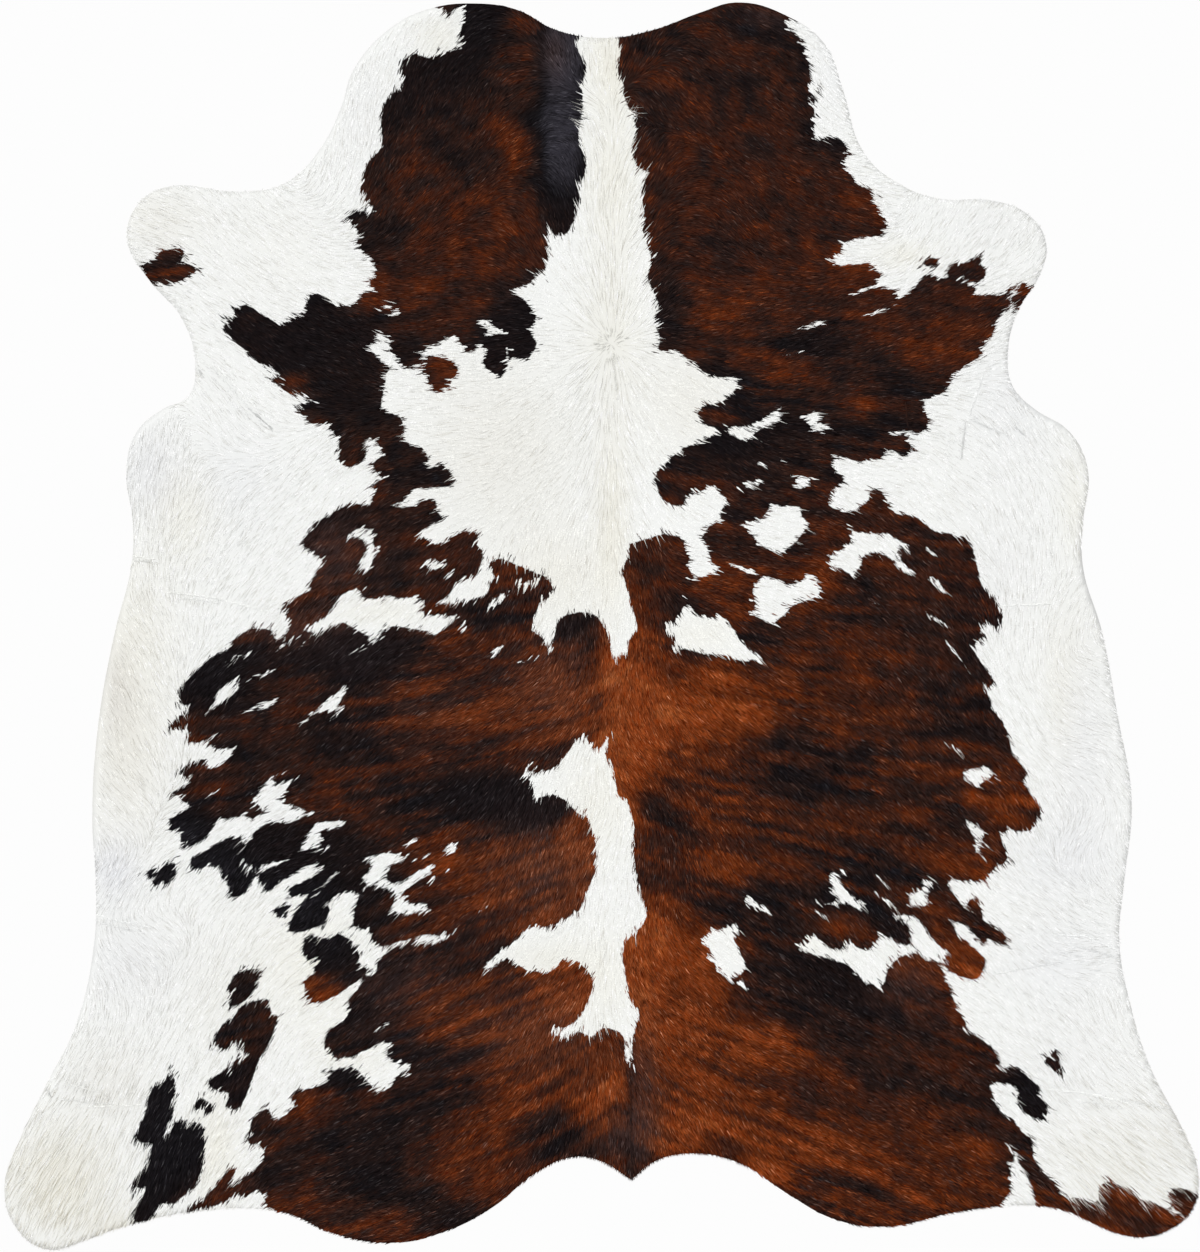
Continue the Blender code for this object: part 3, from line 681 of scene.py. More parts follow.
# Where the stripes of the dark coat fade, and how much.
CALM_ZONES = {
    "neck_left": Zone(-250, 786, 230, 300, 0.95),
    "neck_right": Zone(244, 800, 260, 260, 0.95),
    "right_shoulder": Zone(526, 504, 212, 106, 0.5),
    "left_shoulder": Zone(-426, 398, 106, 212, 0.7),
    "left_girth": Zone(-355, 152, 212, 106, 0.6),
    "right_girth": Zone(438, 116, 229, 106, 0.4),
    "right_rump": Zone(509, -818, 159, 123, 0.85, -30),
    "rump_chestnut": Zone(156, -598, 88, 71, 0.8),
    "back_chestnut": Zone(68, -166, 42, 123, 0.8),
    "girth_inner": Zone(94, 90, 60, 70, 0.75),
    "left_rump": Zone(-355, -950, 230, 100, 0.65),
    "right_back": Zone(526, -95, 150, 110, 0.6),
    "left_saddle_outer": Zone(-602, -166, 110, 110, 0.5),
    "left_islands": Zone(-531, -483, 159, 141, 0.8),
}

# Where the dark coat looks dusty, as if paler and greyer hair lay over it.
DUST_ZONES = {
    "neck_band_top": Zone(-86, 1012, 26, 46, 0.35),
    "neck_right_top": Zone(293, 1075, 44, 22, 0.3),
    "shoulder_left": Zone(-493, 170, 60, 30, 0.1),
    "saddle_left_top": Zone(-470, -25, 132, 62, 0.15),
    "saddle_left": Zone(-302, -150, 80, 60, 0.18),
    "girth_left": Zone(-475, 120, 80, 54, 0.36),
    "girth_left_outer": Zone(-572, 0, 80, 22, 0.36),
    "back_left": Zone(-90, -110, 76, 86, 0.36),
    "loin_left": Zone(-100, -430, 110, 96, 0.38),
    "croup_left": Zone(-106, -712, 130, 80, 0.32),
    "rump_left": Zone(-350, -632, 80, 70, 0.24),
    "seam_right": Zone(78, -810, 26, 90, 0.35),
    "tail_root": Zone(48, -894, 50, 45, 0.4),
    "rump_right_edge": Zone(550, -630, 50, 50, 0.3),
}


# ---------------------------------------------------------------- fields over the hide


@dataclass(frozen=True)
class Lattice:
    """A square net of places over the hide; a field holds one value, or more, for each of them."""

    left: float
    bottom: float
    cell: float
    columns: int
    rows: int

    @classmethod
    def over(cls, low: Vector, high: Vector, cell: float, margin: float) -> "Lattice":
        """A net over a box, with a margin all round.

        Args:
            low: lowest corner of the box.
            high: highest corner of the box.
            cell: distance between neighbouring places.
            margin: how far the net reaches past the box.

        Returns:
            The net, whose last row and column lie on the margin or just past it.
        """
        columns = math.ceil((high.x - low.x + 2 * margin) / cell) + 1
        rows = math.ceil((high.y - low.y + 2 * margin) / cell) + 1
        return cls(low.x - margin, low.y - margin, cell, columns, rows)

    @property
    def xs(self) -> np.ndarray:
        """Where the columns lie along X."""
        return self.left + self.cell * np.arange(self.columns)

    @property
    def ys(self) -> np.ndarray:
        """Where the rows lie along Y."""
        return self.bottom + self.cell * np.arange(self.rows)

    def read(self, values: np.ndarray, places: np.ndarray) -> np.ndarray:
        """Values of a field at any places, mixed from the four that lie round each.

        Args:
            values: the field, rows by columns, with any further axes last.
            places: (n, 2) places.

        Returns:
            One value, or row of values, for each place.
        """
        column = np.clip((places[:, 0] - self.left) / self.cell, 0, self.columns - 1.001)
        row = np.clip((places[:, 1] - self.bottom) / self.cell, 0, self.rows - 1.001)
        c, r = column.astype(int), row.astype(int)
        shape = (-1,) + (1,) * (values.ndim - 2)
        u, v = (column - c).reshape(shape), (row - r).reshape(shape)
        lower = values[r, c] * (1 - u) + values[r, c + 1] * u
        upper = values[r + 1, c] * (1 - u) + values[r + 1, c + 1] * u
        return lower * (1 - v) + upper * v


class SoftNoise:
    """Smooth seeded noise from -1 to 1, whose bumps are about one unit across."""

    PERIOD = 256
    LAYER_TURN = 1.1
    LAYER_SHIFT = 17.3
    STRIPE_FADE = 0.62
    STRIPE_GROWTH = (1.7, 1.9)
    STRIPE_SHIFT = (31.7, 7.9)

    def __init__(self, seed: int) -> None:
        """Draws the values that the noise runs between."""
        self.values = np.random.default_rng(seed).uniform(-1, 1, (self.PERIOD, self.PERIOD))

    def at(self, u: np.ndarray, v: np.ndarray) -> np.ndarray:
        """The noise at some places.

        Args:
            u: places along the first axis, in bumps.
            v: places along the second axis, in bumps.

        Returns:
            Values from -1 to 1.
        """
        i, j = np.floor(u).astype(int), np.floor(v).astype(int)
        s, t = u - i, v - j
        s, t = s * s * (3 - 2 * s), t * t * (3 - 2 * t)
        i0, i1 = i % self.PERIOD, (i + 1) % self.PERIOD
        j0, j1 = j % self.PERIOD, (j + 1) % self.PERIOD
        low = self.values[i0, j0] * (1 - s) + self.values[i1, j0] * s
        high = self.values[i0, j1] * (1 - s) + self.values[i1, j1] * s
        return low * (1 - t) + high * t

    def layers(self, u: np.ndarray, v: np.ndarray, count: int) -> np.ndarray:
        """Several layers of the noise, each half as large and half as strong as the last.

        Args:
            u: places along the first axis, in bumps of the first layer.
            v: places along the second axis, in bumps of the first layer.
            count: how many layers.

        Returns:
            Values from -1 to 1.
        """
        total, strength = np.zeros_like(u), 0.0
        for layer in range(count):
            share, turn = 0.5**layer, self.LAYER_TURN * layer
            a, b = u * 2**layer, v * 2**layer
            shifted = a * math.cos(turn) - b * math.sin(turn) + self.LAYER_SHIFT * layer
            total = total + share * self.at(shifted, a * math.sin(turn) + b * math.cos(turn))
            strength += share
        return total / strength

    def stripes(self, u: np.ndarray, v: np.ndarray, count: int) -> np.ndarray:
        """Several layers of the noise that all keep the same direction.

        Args:
            u: places along the stripes, in stripe lengths.
            v: places across the stripes, in stripe widths.
            count: how many layers, each finer across than along.

        Returns:
            Values from -1 to 1.
        """
        total, strength = np.zeros_like(u), 0.0
        for layer in range(count):
            share = self.STRIPE_FADE**layer
            along = u * self.STRIPE_GROWTH[0]**layer + self.STRIPE_SHIFT[0] * layer
            across = v * self.STRIPE_GROWTH[1]**layer + self.STRIPE_SHIFT[1] * layer
            total = total + share * self.at(along, across)
            strength += share
        return total / strength


def signed_distance(net: Lattice, outline: np.ndarray, reach: float) -> np.ndarray:
    """How far each place of a net lies inside a closed outline.

    Args:
        net: the places.
        outline: (n, 2) corners of the outline, in order.
        reach: the largest distance that is worked out.

    Returns:
        Rows by columns of distances, positive inside and negative outside, up to reach.
    """
    xs, ys = net.xs, net.ys
    nearest = np.full((net.rows, net.columns), reach)
    crossings = np.zeros((net.rows, net.columns), np.int16)
    for start, end in zip(outline, np.roll(outline, -1, axis=0)):
        low, high = np.minimum(start, end) - reach, np.maximum(start, end) + reach
        columns = slice(*np.searchsorted(xs, (low[0], high[0])))
        rows = slice(*np.searchsorted(ys, (low[1], high[1])))
        run = end - start
        dx, dy = xs[columns][None, :] - start[0], ys[rows][:, None] - start[1]
        along = np.clip((dx * run[0] + dy * run[1]) / max(float(run @ run), 1e-12), 0, 1)
        gap = np.hypot(dx - along * run[0], dy - along * run[1])
        nearest[rows, columns] = np.minimum(nearest[rows, columns], gap)
        hit = np.arange(*np.searchsorted(ys, sorted((start[1], end[1]))))
        if len(hit):
            crossed = start[0] + (ys[hit] - start[1]) * run[0] / run[1]
            first = np.searchsorted(xs, crossed)
            inside = first < net.columns
            np.add.at(crossings, (hit[inside], first[inside]), 1)
    is_inside = np.cumsum(crossings, axis=1) % 2 == 1
    return np.where(is_inside, nearest, -nearest)


def smooth_step(values: np.ndarray, low: float, high: float) -> np.ndarray:
    """0 up to low and 1 past high, with a soft rise between."""
    share = np.clip((values - low) / (high - low), 0, 1)
    return share * share * (3 - 2 * share)


def seen_from(x: np.ndarray, y: np.ndarray, mark: Zone | Tint | Fleck) -> tuple[np.ndarray, np.ndarray]:
    """Places as seen from the middle of a tilted mark.

    Args:
        x: the places along X.
        y: the places along Y.
        mark: the mark, in millimetres and degrees.

    Returns:
        How far the places lie along the mark and across it.
    """
    c, s = math.cos(math.radians(mark.tilt)), math.sin(math.radians(mark.tilt))
    dx, dy = x - mark.x * MM, y - mark.y * MM
    return dx * c + dy * s, dy * c - dx * s


def oval_weights(zones: Sequence[Zone | Tint], places: np.ndarray) -> np.ndarray:
    """How strongly each oval zone of a table counts at each place.

    Args:
        zones: the table.
        places: (n, 2) places.

    Returns:
        (n, zones) weights, 1 in the middle of a zone and falling off softly past its rim.
    """
    weights = np.empty((len(places), len(zones)), np.float32)
    for k, zone in enumerate(zones):
        along, across = seen_from(places[:, 0], places[:, 1], zone)
        u, v = along / (zone.half_x * MM), across / (zone.half_y * MM)
        weights[:, k] = np.exp(-OVAL_FALL * (u * u + v * v))
    return weights


def amounts(zones: Sequence[Zone]) -> np.ndarray:
    """How much of its look each zone of a table has."""
    return np.array([zone.amount for zone in zones])


class CutEdge:
    """The cut edge of the hide, taken from its solid, and how far any place lies inside it."""

    REACH = 60 * MM
    WELD = 1e-6
    LEVEL = 1e-5
    UPRIGHT = 0.01

    def __init__(self, solid: bpy.types.Object, cell: float) -> None:
        """Reads the outline off the solid and works out the distances inside it.

        Args:
            solid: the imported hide.
            cell: distance between neighbouring places of the net.
        """
        self.outline = self._outline_of(solid)
        low, high = Vector(cad_box[0]), Vector(cad_box[1])
        self.net = Lattice.over(low, high, cell, NET_MARGIN)
        self.depths = signed_distance(self.net, self.outline, self.REACH)

    @classmethod
    def _outline_of(cls, solid: bpy.types.Object) -> np.ndarray:
        """The corners of the solid's upright rim, walked once round.

        Args:
            solid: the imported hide, a closed mesh of loose triangles.

        Returns:
            (n, 2) corners, in order.
        """
        rim = bmesh.new()
        rim.from_mesh(solid.data)
        bmesh.ops.remove_doubles(rim, verts=rim.verts, dist=cls.WELD)
        upright = [f for f in rim.faces if abs(f.normal.z) < cls.UPRIGHT]
        top = max(v.co.z for f in upright for v in f.verts)
        steps: dict[int, list[int]] = {}
        for edge in rim.edges:
            is_level = all(abs(v.co.z - top) < cls.LEVEL for v in edge.verts)
            if is_level and any(abs(f.normal.z) < cls.UPRIGHT for f in edge.link_faces):
                a, b = (v.index for v in edge.verts)
                steps.setdefault(a, []).append(b)
                steps.setdefault(b, []).append(a)
        rim.verts.ensure_lookup_table()
        start = min(steps)
        walk, last = [start], -1
        while True:
            ahead = next(i for i in steps[walk[-1]] if i != last)
            if ahead == start:
                break
            last = walk[-1]
            walk.append(ahead)
        corners = np.array([rim.verts[i].co[:2] for i in walk])
        rim.free()
        return corners

    def depth(self, places: np.ndarray) -> np.ndarray:
        """How far inside the edge each place lies; negative outside."""
        return self.net.read(self.depths, places)

    def inward(self, places: np.ndarray) -> np.ndarray:
        """The direction in which the edge falls behind fastest.

        Args:
            places: (n, 2) places.

        Returns:
            (n, 2) directions of length 1.
        """
        step = self.net.cell
        east = self.depth(places + (step, 0)) - self.depth(places - (step, 0))
        north = self.depth(places + (0, step)) - self.depth(places - (0, step))
        slope = np.stack([east, north], axis=1)
        return slope / np.maximum(np.linalg.norm(slope, axis=1, keepdims=True), 1e-9)


class HairFlow:
    """The direction in which the hair lies, over the whole hide."""

    CELL = 8 * MM
    SOFTNESS = 16 * MM
    WHORL = (18.5 * MM, 497 * MM)
    WHORL_REACH = 34 * MM
    WANDER = ((60 * MM, 7.0), (17 * MM, 5.0))
    WANDER_SEED = 101

    def __init__(self, low: Vector, high: Vector, guides: Sequence[Guide]) -> None:
        """Spreads the guides over a coarse net; near the whorl the hair turns away from its middle.

        Args:
            low: lowest corner of the hide's box.
            high: highest corner of the hide's box.
            guides: how the hair lies at some places.
        """
        self.net = Lattice.over(low, high, self.CELL, NET_MARGIN)
        x, y = np.meshgrid(self.net.xs, self.net.ys)
        total = np.zeros(x.shape + (2,))
        for guide in guides:
            gap = (x - guide.x * MM) ** 2 + (y - guide.y * MM) ** 2
            angle = math.radians(guide.angle)
            heading = np.array([math.cos(angle), math.sin(angle)])
            total += heading / ((gap + self.SOFTNESS**2) ** 2)[..., None]
        total /= np.maximum(np.linalg.norm(total, axis=-1, keepdims=True), 1e-12)
        away = np.stack([x - self.WHORL[0], y - self.WHORL[1]], axis=-1)
        gap = np.linalg.norm(away, axis=-1, keepdims=True)
        near = np.exp(-((gap / self.WHORL_REACH) ** 2))
        self.headings = total * (1 - near) + away / np.maximum(gap, 1e-9) * near
        self.wander = [
            (SoftNoise(self.WANDER_SEED + k), size, turn) for k, (size, turn) in enumerate(self.WANDER)
        ]

    def angle(self, places: np.ndarray) -> np.ndarray:
        """The angle of the hair from root to tip.

        Args:
            places: (n, 2) places.

        Returns:
            One angle for each place, in radians, anticlockwise from +X.
        """
        heading = self.net.read(self.headings, places)
        angle = np.arctan2(heading[:, 1], heading[:, 0])
        for noise, size, turn in self.wander:
            angle = angle + math.radians(turn) * noise.at(places[:, 0] / size, places[:, 1] / size)
        return angle


def linear(colour: Sequence[float]) -> np.ndarray:
    """A colour of 0 to 255 steps as linear light from 0 to 1."""
    share = np.asarray(colour, float) / 255
    return np.where(share <= 0.04045, share / 12.92, ((share + 0.055) / 1.055) ** 2.4)


class DarkShade(Enum):
    """The dark coat's colours, each at the warmth where it is pure."""

    # Painted sheen: black hair seen bluish grey where light glances off it.
    BLUE_BLACK = (-0.34, (54, 52, 59))
    PURE_BLACK = (-0.12, (22, 20, 23))
    BLACK = (0.0, (23, 17, 18))
    BLACK_BROWN = (0.2, (43, 28, 24))
    DARK_BROWN = (0.4, (61, 31, 21))
    BROWN = (0.6, (86, 39, 18))
    ORANGE_BROWN = (0.8, (112, 51, 21))
    CHESTNUT = (1.0, (135, 62, 26))
    TAN = (1.25, (165, 90, 46))


class WhiteShade(Enum):
    """The white coat's colours."""

    WHITE = (244, 245, 243)
    CREAM = (239, 237, 226)
    # Painted shade of the hide's soft waves: a cool grey over the white coat.
    GREY = (226, 227, 233)


class Coat:
    """The colours of the coat over the whole hide: where it is dark, how warm, and every shade."""

    SEED = 7
    PATCH_CELL = 1.6 * MM
    TONE_CELL = 7 * MM
    PATCH_REACH = 14 * MM
    FACING_STEP = 3 * MM
    USUAL_WARMTH = 0.34
    USUAL_WEIGHT = 0.12
    STRIPE_LENGTH = 110 * MM
    STRIPE_WIDTH = 11 * MM
    STRIPE_FALL = 0.14
    RUMP_FALL = 0.2
    SPINE = 25 * MM
    SPINE_FALL = 0.45
    SPINE_REACH = 80 * MM
    RUMP_FROM = -250 * MM
    RUMP_TO = -700 * MM
    STRIPE_SHARPNESS = 2.6
    STRIPE_STRENGTH = 0.31
    BEND_SIZE = (90 * MM, 60 * MM)
    BEND_DEPTH = 0.5
    MOTTLE_SIZE = 26 * MM
    MOTTLE_STRENGTH = 0.2
    MOTTLE_BASE = 1.8
    LIVELY_RISE = (-0.06, 0.2)
    LIVELY_DEEP = (0.1, 0.3)
    LIVELY_FALL = (0.85, 1.1)
    FRAY_SIZE = 9 * MM
    FRAY_DEPTH = 0.3
    CLUMP_SIZE = 8 * MM
    CLUMP_STRENGTH = 0.14
    DUST = (96, 68, 62)
    DARKEST = 3
    RAGGED_SIZE = 6.5 * MM
    RAGGED_DEPTH = 2.2 * MM

    def __init__(self, low: Vector, high: Vector) -> None:
        """Works out the patches and the warmth over their nets.

        Args:
            low: lowest corner of the hide's box.
            high: highest corner of the hide's box.
        """
        self.patch_net = Lattice.over(low, high, self.PATCH_CELL, NET_MARGIN)
        self.patches = self._patch_field()
        self.tone_net = Lattice.over(low, high, self.TONE_CELL, NET_MARGIN)
        x, y = np.meshgrid(self.tone_net.xs, self.tone_net.ys)
        places = np.stack([x.ravel(), y.ravel()], axis=1)
        self.tones = self._tone_field(places).reshape(x.shape)
        self.tints = self._tint_field(places).reshape(x.shape + (2,))
        calm_zones = list(CALM_ZONES.values())
        calm = (oval_weights(calm_zones, places) * amounts(calm_zones)).max(axis=1)
        self.striped = 1 - calm.reshape(x.shape)
        noises = [SoftNoise(self.SEED + k) for k in range(6)]
        self.stripe_noise, self.mottle_noise, self.ragged_noise = noises[:3]
        self.bend_noise, self.fray_noise, self.clump_noise = noises[3:]

    def _patch_field(self) -> np.ndarray:
        """How far inside the dark coat each place of the patch net lies.

        Returns:
            Rows by columns of distances, with the white patches and flecks cut out of the dark ones.
        """
        field = np.full((self.patch_net.rows, self.patch_net.columns), -self.PATCH_REACH)
        for patch in DARK_PATCHES:
            outline = np.array(patch.outline) * MM
            field = np.maximum(field, signed_distance(self.patch_net, outline, self.PATCH_REACH))
        for patch in WHITE_PATCHES:
            outline = np.array(patch.outline) * MM
            field = np.minimum(field, -signed_distance(self.patch_net, outline, self.PATCH_REACH))
        x, y = np.meshgrid(self.patch_net.xs, self.patch_net.ys)
        for fleck in WHITE_FLECKS:
            along, across = seen_from(x, y, fleck)
            u, v = along / (0.5 * fleck.length * MM), across / (0.5 * fleck.width * MM)
            inside = (1 - np.sqrt(u * u + v * v)) * 0.5 * fleck.width * MM
            field = np.minimum(field, -np.maximum(inside, -self.PATCH_REACH))
        return field

    def _tone_field(self, places: np.ndarray) -> np.ndarray:
        """The warmth of the dark coat, mixed from the zones of the table and the usual warmth.

        Args:
            places: (n, 2) places.

        Returns:
            One warmth for each place, without stripes or mottling.
        """
        weights = oval_weights(COAT_TONES, places)
        total = weights @ amounts(COAT_TONES) + self.USUAL_WEIGHT * self.USUAL_WARMTH
        return total / (weights.sum(axis=1) + self.USUAL_WEIGHT)

    def _tint_field(self, places: np.ndarray) -> np.ndarray:
        """How much cream and how much grey painted shade lies over the white coat."""
        weights = oval_weights(WHITE_TINTS, places)
        return np.clip(weights @ np.array([(tint.cream, tint.grey) for tint in WHITE_TINTS]), 0, 1)

    def darkness(self, places: np.ndarray) -> np.ndarray:
        """How far inside a dark patch each place lies, with the patch's edge a little ragged.

        Args:
            places: (n, 2) places.

        Returns:
            Distances, positive in the dark coat and negative in the white.
        """
        u, v = places[:, 0] / self.RAGGED_SIZE, places[:, 1] / self.RAGGED_SIZE
        ragged = self.ragged_noise.layers(u, v, 3)
        return self.patch_net.read(self.patches, places) + self.RAGGED_DEPTH * ragged

    def facing(self, places: np.ndarray, angle: np.ndarray) -> np.ndarray:
        """How squarely the edge of the nearest patch crosses the hair.

        Args:
            places: (n, 2) places.
            angle: the angle of the hair at each of them, in radians.

        Returns:
            1 where the edge crosses the hair, down to 0 where it runs along it.
        """
        read, step = self.patch_net.read, self.FACING_STEP
        east, north = (
            read(self.patches, places + shift) - read(self.patches, places - shift)
            for shift in ((step, 0), (0, step))
        )
        crossing = np.abs(np.cos(angle) * east + np.sin(angle) * north)
        return crossing / np.maximum(np.hypot(east, north), 1e-6)

    def liveliness(self, tone: np.ndarray) -> np.ndarray:
        """How strongly stripes and mottling show on a tone: least on pure black and on plain chestnut."""
        low = smooth_step(tone, *self.LIVELY_RISE) + 0.5 * smooth_step(-tone, *self.LIVELY_DEEP)
        return low * (1 - 0.5 * smooth_step(tone, *self.LIVELY_FALL))

    def warmth(self, places: np.ndarray) -> np.ndarray:
        """The warmth of the dark coat with its stripes and mottling.

        Args:
            places: (n, 2) places.

        Returns:
            One warmth for each place.
        """
        x, y = places[:, 0], places[:, 1]
        bend = self.BEND_DEPTH * self.bend_noise.layers(x / self.BEND_SIZE[0], y / self.BEND_SIZE[1], 2)
        fray = self.FRAY_DEPTH * self.fray_noise.layers(x / self.FRAY_SIZE, y / self.FRAY_SIZE, 2)
        along = x / self.STRIPE_LENGTH
        fall = self.STRIPE_FALL + self.RUMP_FALL * smooth_step(-y, -self.RUMP_FROM, -self.RUMP_TO)
        aside = np.abs(x - self.SPINE)
        drop = fall * aside + self.SPINE_FALL * self.SPINE_REACH * (1 - np.exp(-aside / self.SPINE_REACH))
        across = (y + drop) / self.STRIPE_WIDTH + bend + fray
        stripe = np.tanh(self.STRIPE_SHARPNESS * self.stripe_noise.stripes(along, across, 3))
        mottle = self.mottle_noise.layers(x / self.MOTTLE_SIZE, y / self.MOTTLE_SIZE, 3)
        tone = self.tone_net.read(self.tones, places)
        striped = self.tone_net.read(self.striped, places)
        change = self.STRIPE_STRENGTH * striped * stripe
        change = change + self.MOTTLE_STRENGTH * (self.MOTTLE_BASE - striped) * mottle
        return tone + self.liveliness(tone) * change

    def clumping(self, places: np.ndarray) -> np.ndarray:
        """How light the dark hair is where it lies in clumps, about 1."""
        u, v = places[:, 0] / self.CLUMP_SIZE, places[:, 1] / self.CLUMP_SIZE
        return np.exp(self.CLUMP_STRENGTH * self.clump_noise.layers(u, v, 2))

    def dark_colours(self, places: np.ndarray, change: np.ndarray | float = 0.0,
                     shine: np.ndarray | float = 0.0) -> np.ndarray:
        """Linear colours of dark hair.

        Args:
            places: (n, 2) places.
            change: what is added to the warmth there.
            shine: grey that is added as painted highlight, or taken away as painted shade where negative, in
                steps of 0 to 255.

        Returns:
            (n, 3) colours.
        """
        warmth = self.warmth(places) + change
        stops = np.array([shade.value[0] for shade in DarkShade])
        shades = np.array([shade.value[1] for shade in DarkShade])
        steps = np.stack([np.interp(warmth, stops, shades[:, k]) for k in range(3)], axis=1)
        dust_zones = list(DUST_ZONES.values())
        share = np.clip(oval_weights(dust_zones, places) @ amounts(dust_zones), 0, 1)[:, None]
        steps = steps + share * (np.array(self.DUST) - steps)
        steps = steps * self.clumping(places)[:, None] + np.reshape(shine, (-1, 1))
        return linear(np.clip(steps, self.DARKEST, 255))

    def white_colours(self, places: np.ndarray) -> np.ndarray:
        """Linear colours of white hair.

        Args:
            places: (n, 2) places.

        Returns:
            (n, 3) colours.
        """
        # The grey is painted shade of the hide's soft waves; the cream is the hair's own tone.
        cream, grey = self.tone_net.read(self.tints, places).T[:, :, None]
        white, warm, shaded_white = (linear(s.value) for s in (WhiteShade.WHITE, WhiteShade.CREAM, WhiteShade.GREY))
        return white + cream * (warm - white) + grey * (shaded_white - white)


@dataclass
class Relief:
    """The height of the hide's upper face: a soft lie, its creases and its thinning at the edge."""

    edge: CutEdge
    top: float = 3.3 * MM
    edge_top: float = 2.2 * MM
    roll: float = 22 * MM
    swell: float = 0.25 * MM
    swell_size: float = 120 * MM
    lowest: float = 1.2 * MM
    highest: float = 4.4 * MM
    noise: SoftNoise = field(default_factory=lambda: SoftNoise(21))

    # How much of a crease is gone at its ends.
    END_FADE = 0.6

    def height(self, places: np.ndarray) -> np.ndarray:
        """The height of the hide's upper face.

        Args:
            places: (n, 2) places.

        Returns:
            One height for each place, the edge's own past the edge.
        """
        depth = np.clip(self.edge.depth(places) / self.roll, 0, 1)
        rise = depth * (2 - depth)
        u, v = places[:, 0] / self.swell_size, places[:, 1] / self.swell_size
        height = self.edge_top + (self.top - self.edge_top) * rise
        height = height + self.swell * rise * self.noise.layers(u, v, 3)
        for crease in CREASES:
            height = height - crease.depth * MM * self.nearness(crease, places)
        return np.clip(height, self.lowest, self.highest)

    @classmethod
    def nearness(cls, crease: Crease, places: np.ndarray, lean: float = 0.0) -> np.ndarray:
        """How near each place is to a crease.

        Args:
            crease: the crease.
            places: (n, 2) places.
            lean: how far to the left of the line the middle is taken, in millimetres.

        Returns:
            1 at the middle of its line, fading sideways and to its ends.
        """
        start = np.array([crease.x0, crease.y0]) * MM
        run = np.array([crease.x1, crease.y1]) * MM - start
        left = np.array([-run[1], run[0]]) / np.linalg.norm(run)
        offset = places - start - left * lean * MM
        along = np.clip(offset @ run / (run @ run), 0, 1)
        gap = np.linalg.norm(offset - along[:, None] * run, axis=1) / (crease.width * MM)
        return (1 - cls.END_FADE * np.abs(2 * along - 1)) * np.exp(-gap * gap)

    def creased(self, places: np.ndarray) -> np.ndarray:
        """How near each place is to the nearest crease, from 0 to 1."""
        return np.max([self.nearness(crease, places) for crease in CREASES], axis=0)

    def shade(self, places: np.ndarray) -> np.ndarray:
        """How much light the hair loses beside the creases, on the side where each leans."""
        return sum(crease.shade * self.nearness(crease, places, crease.lean) for crease in CREASES)


# ---------------------------------------------------------------- finishes


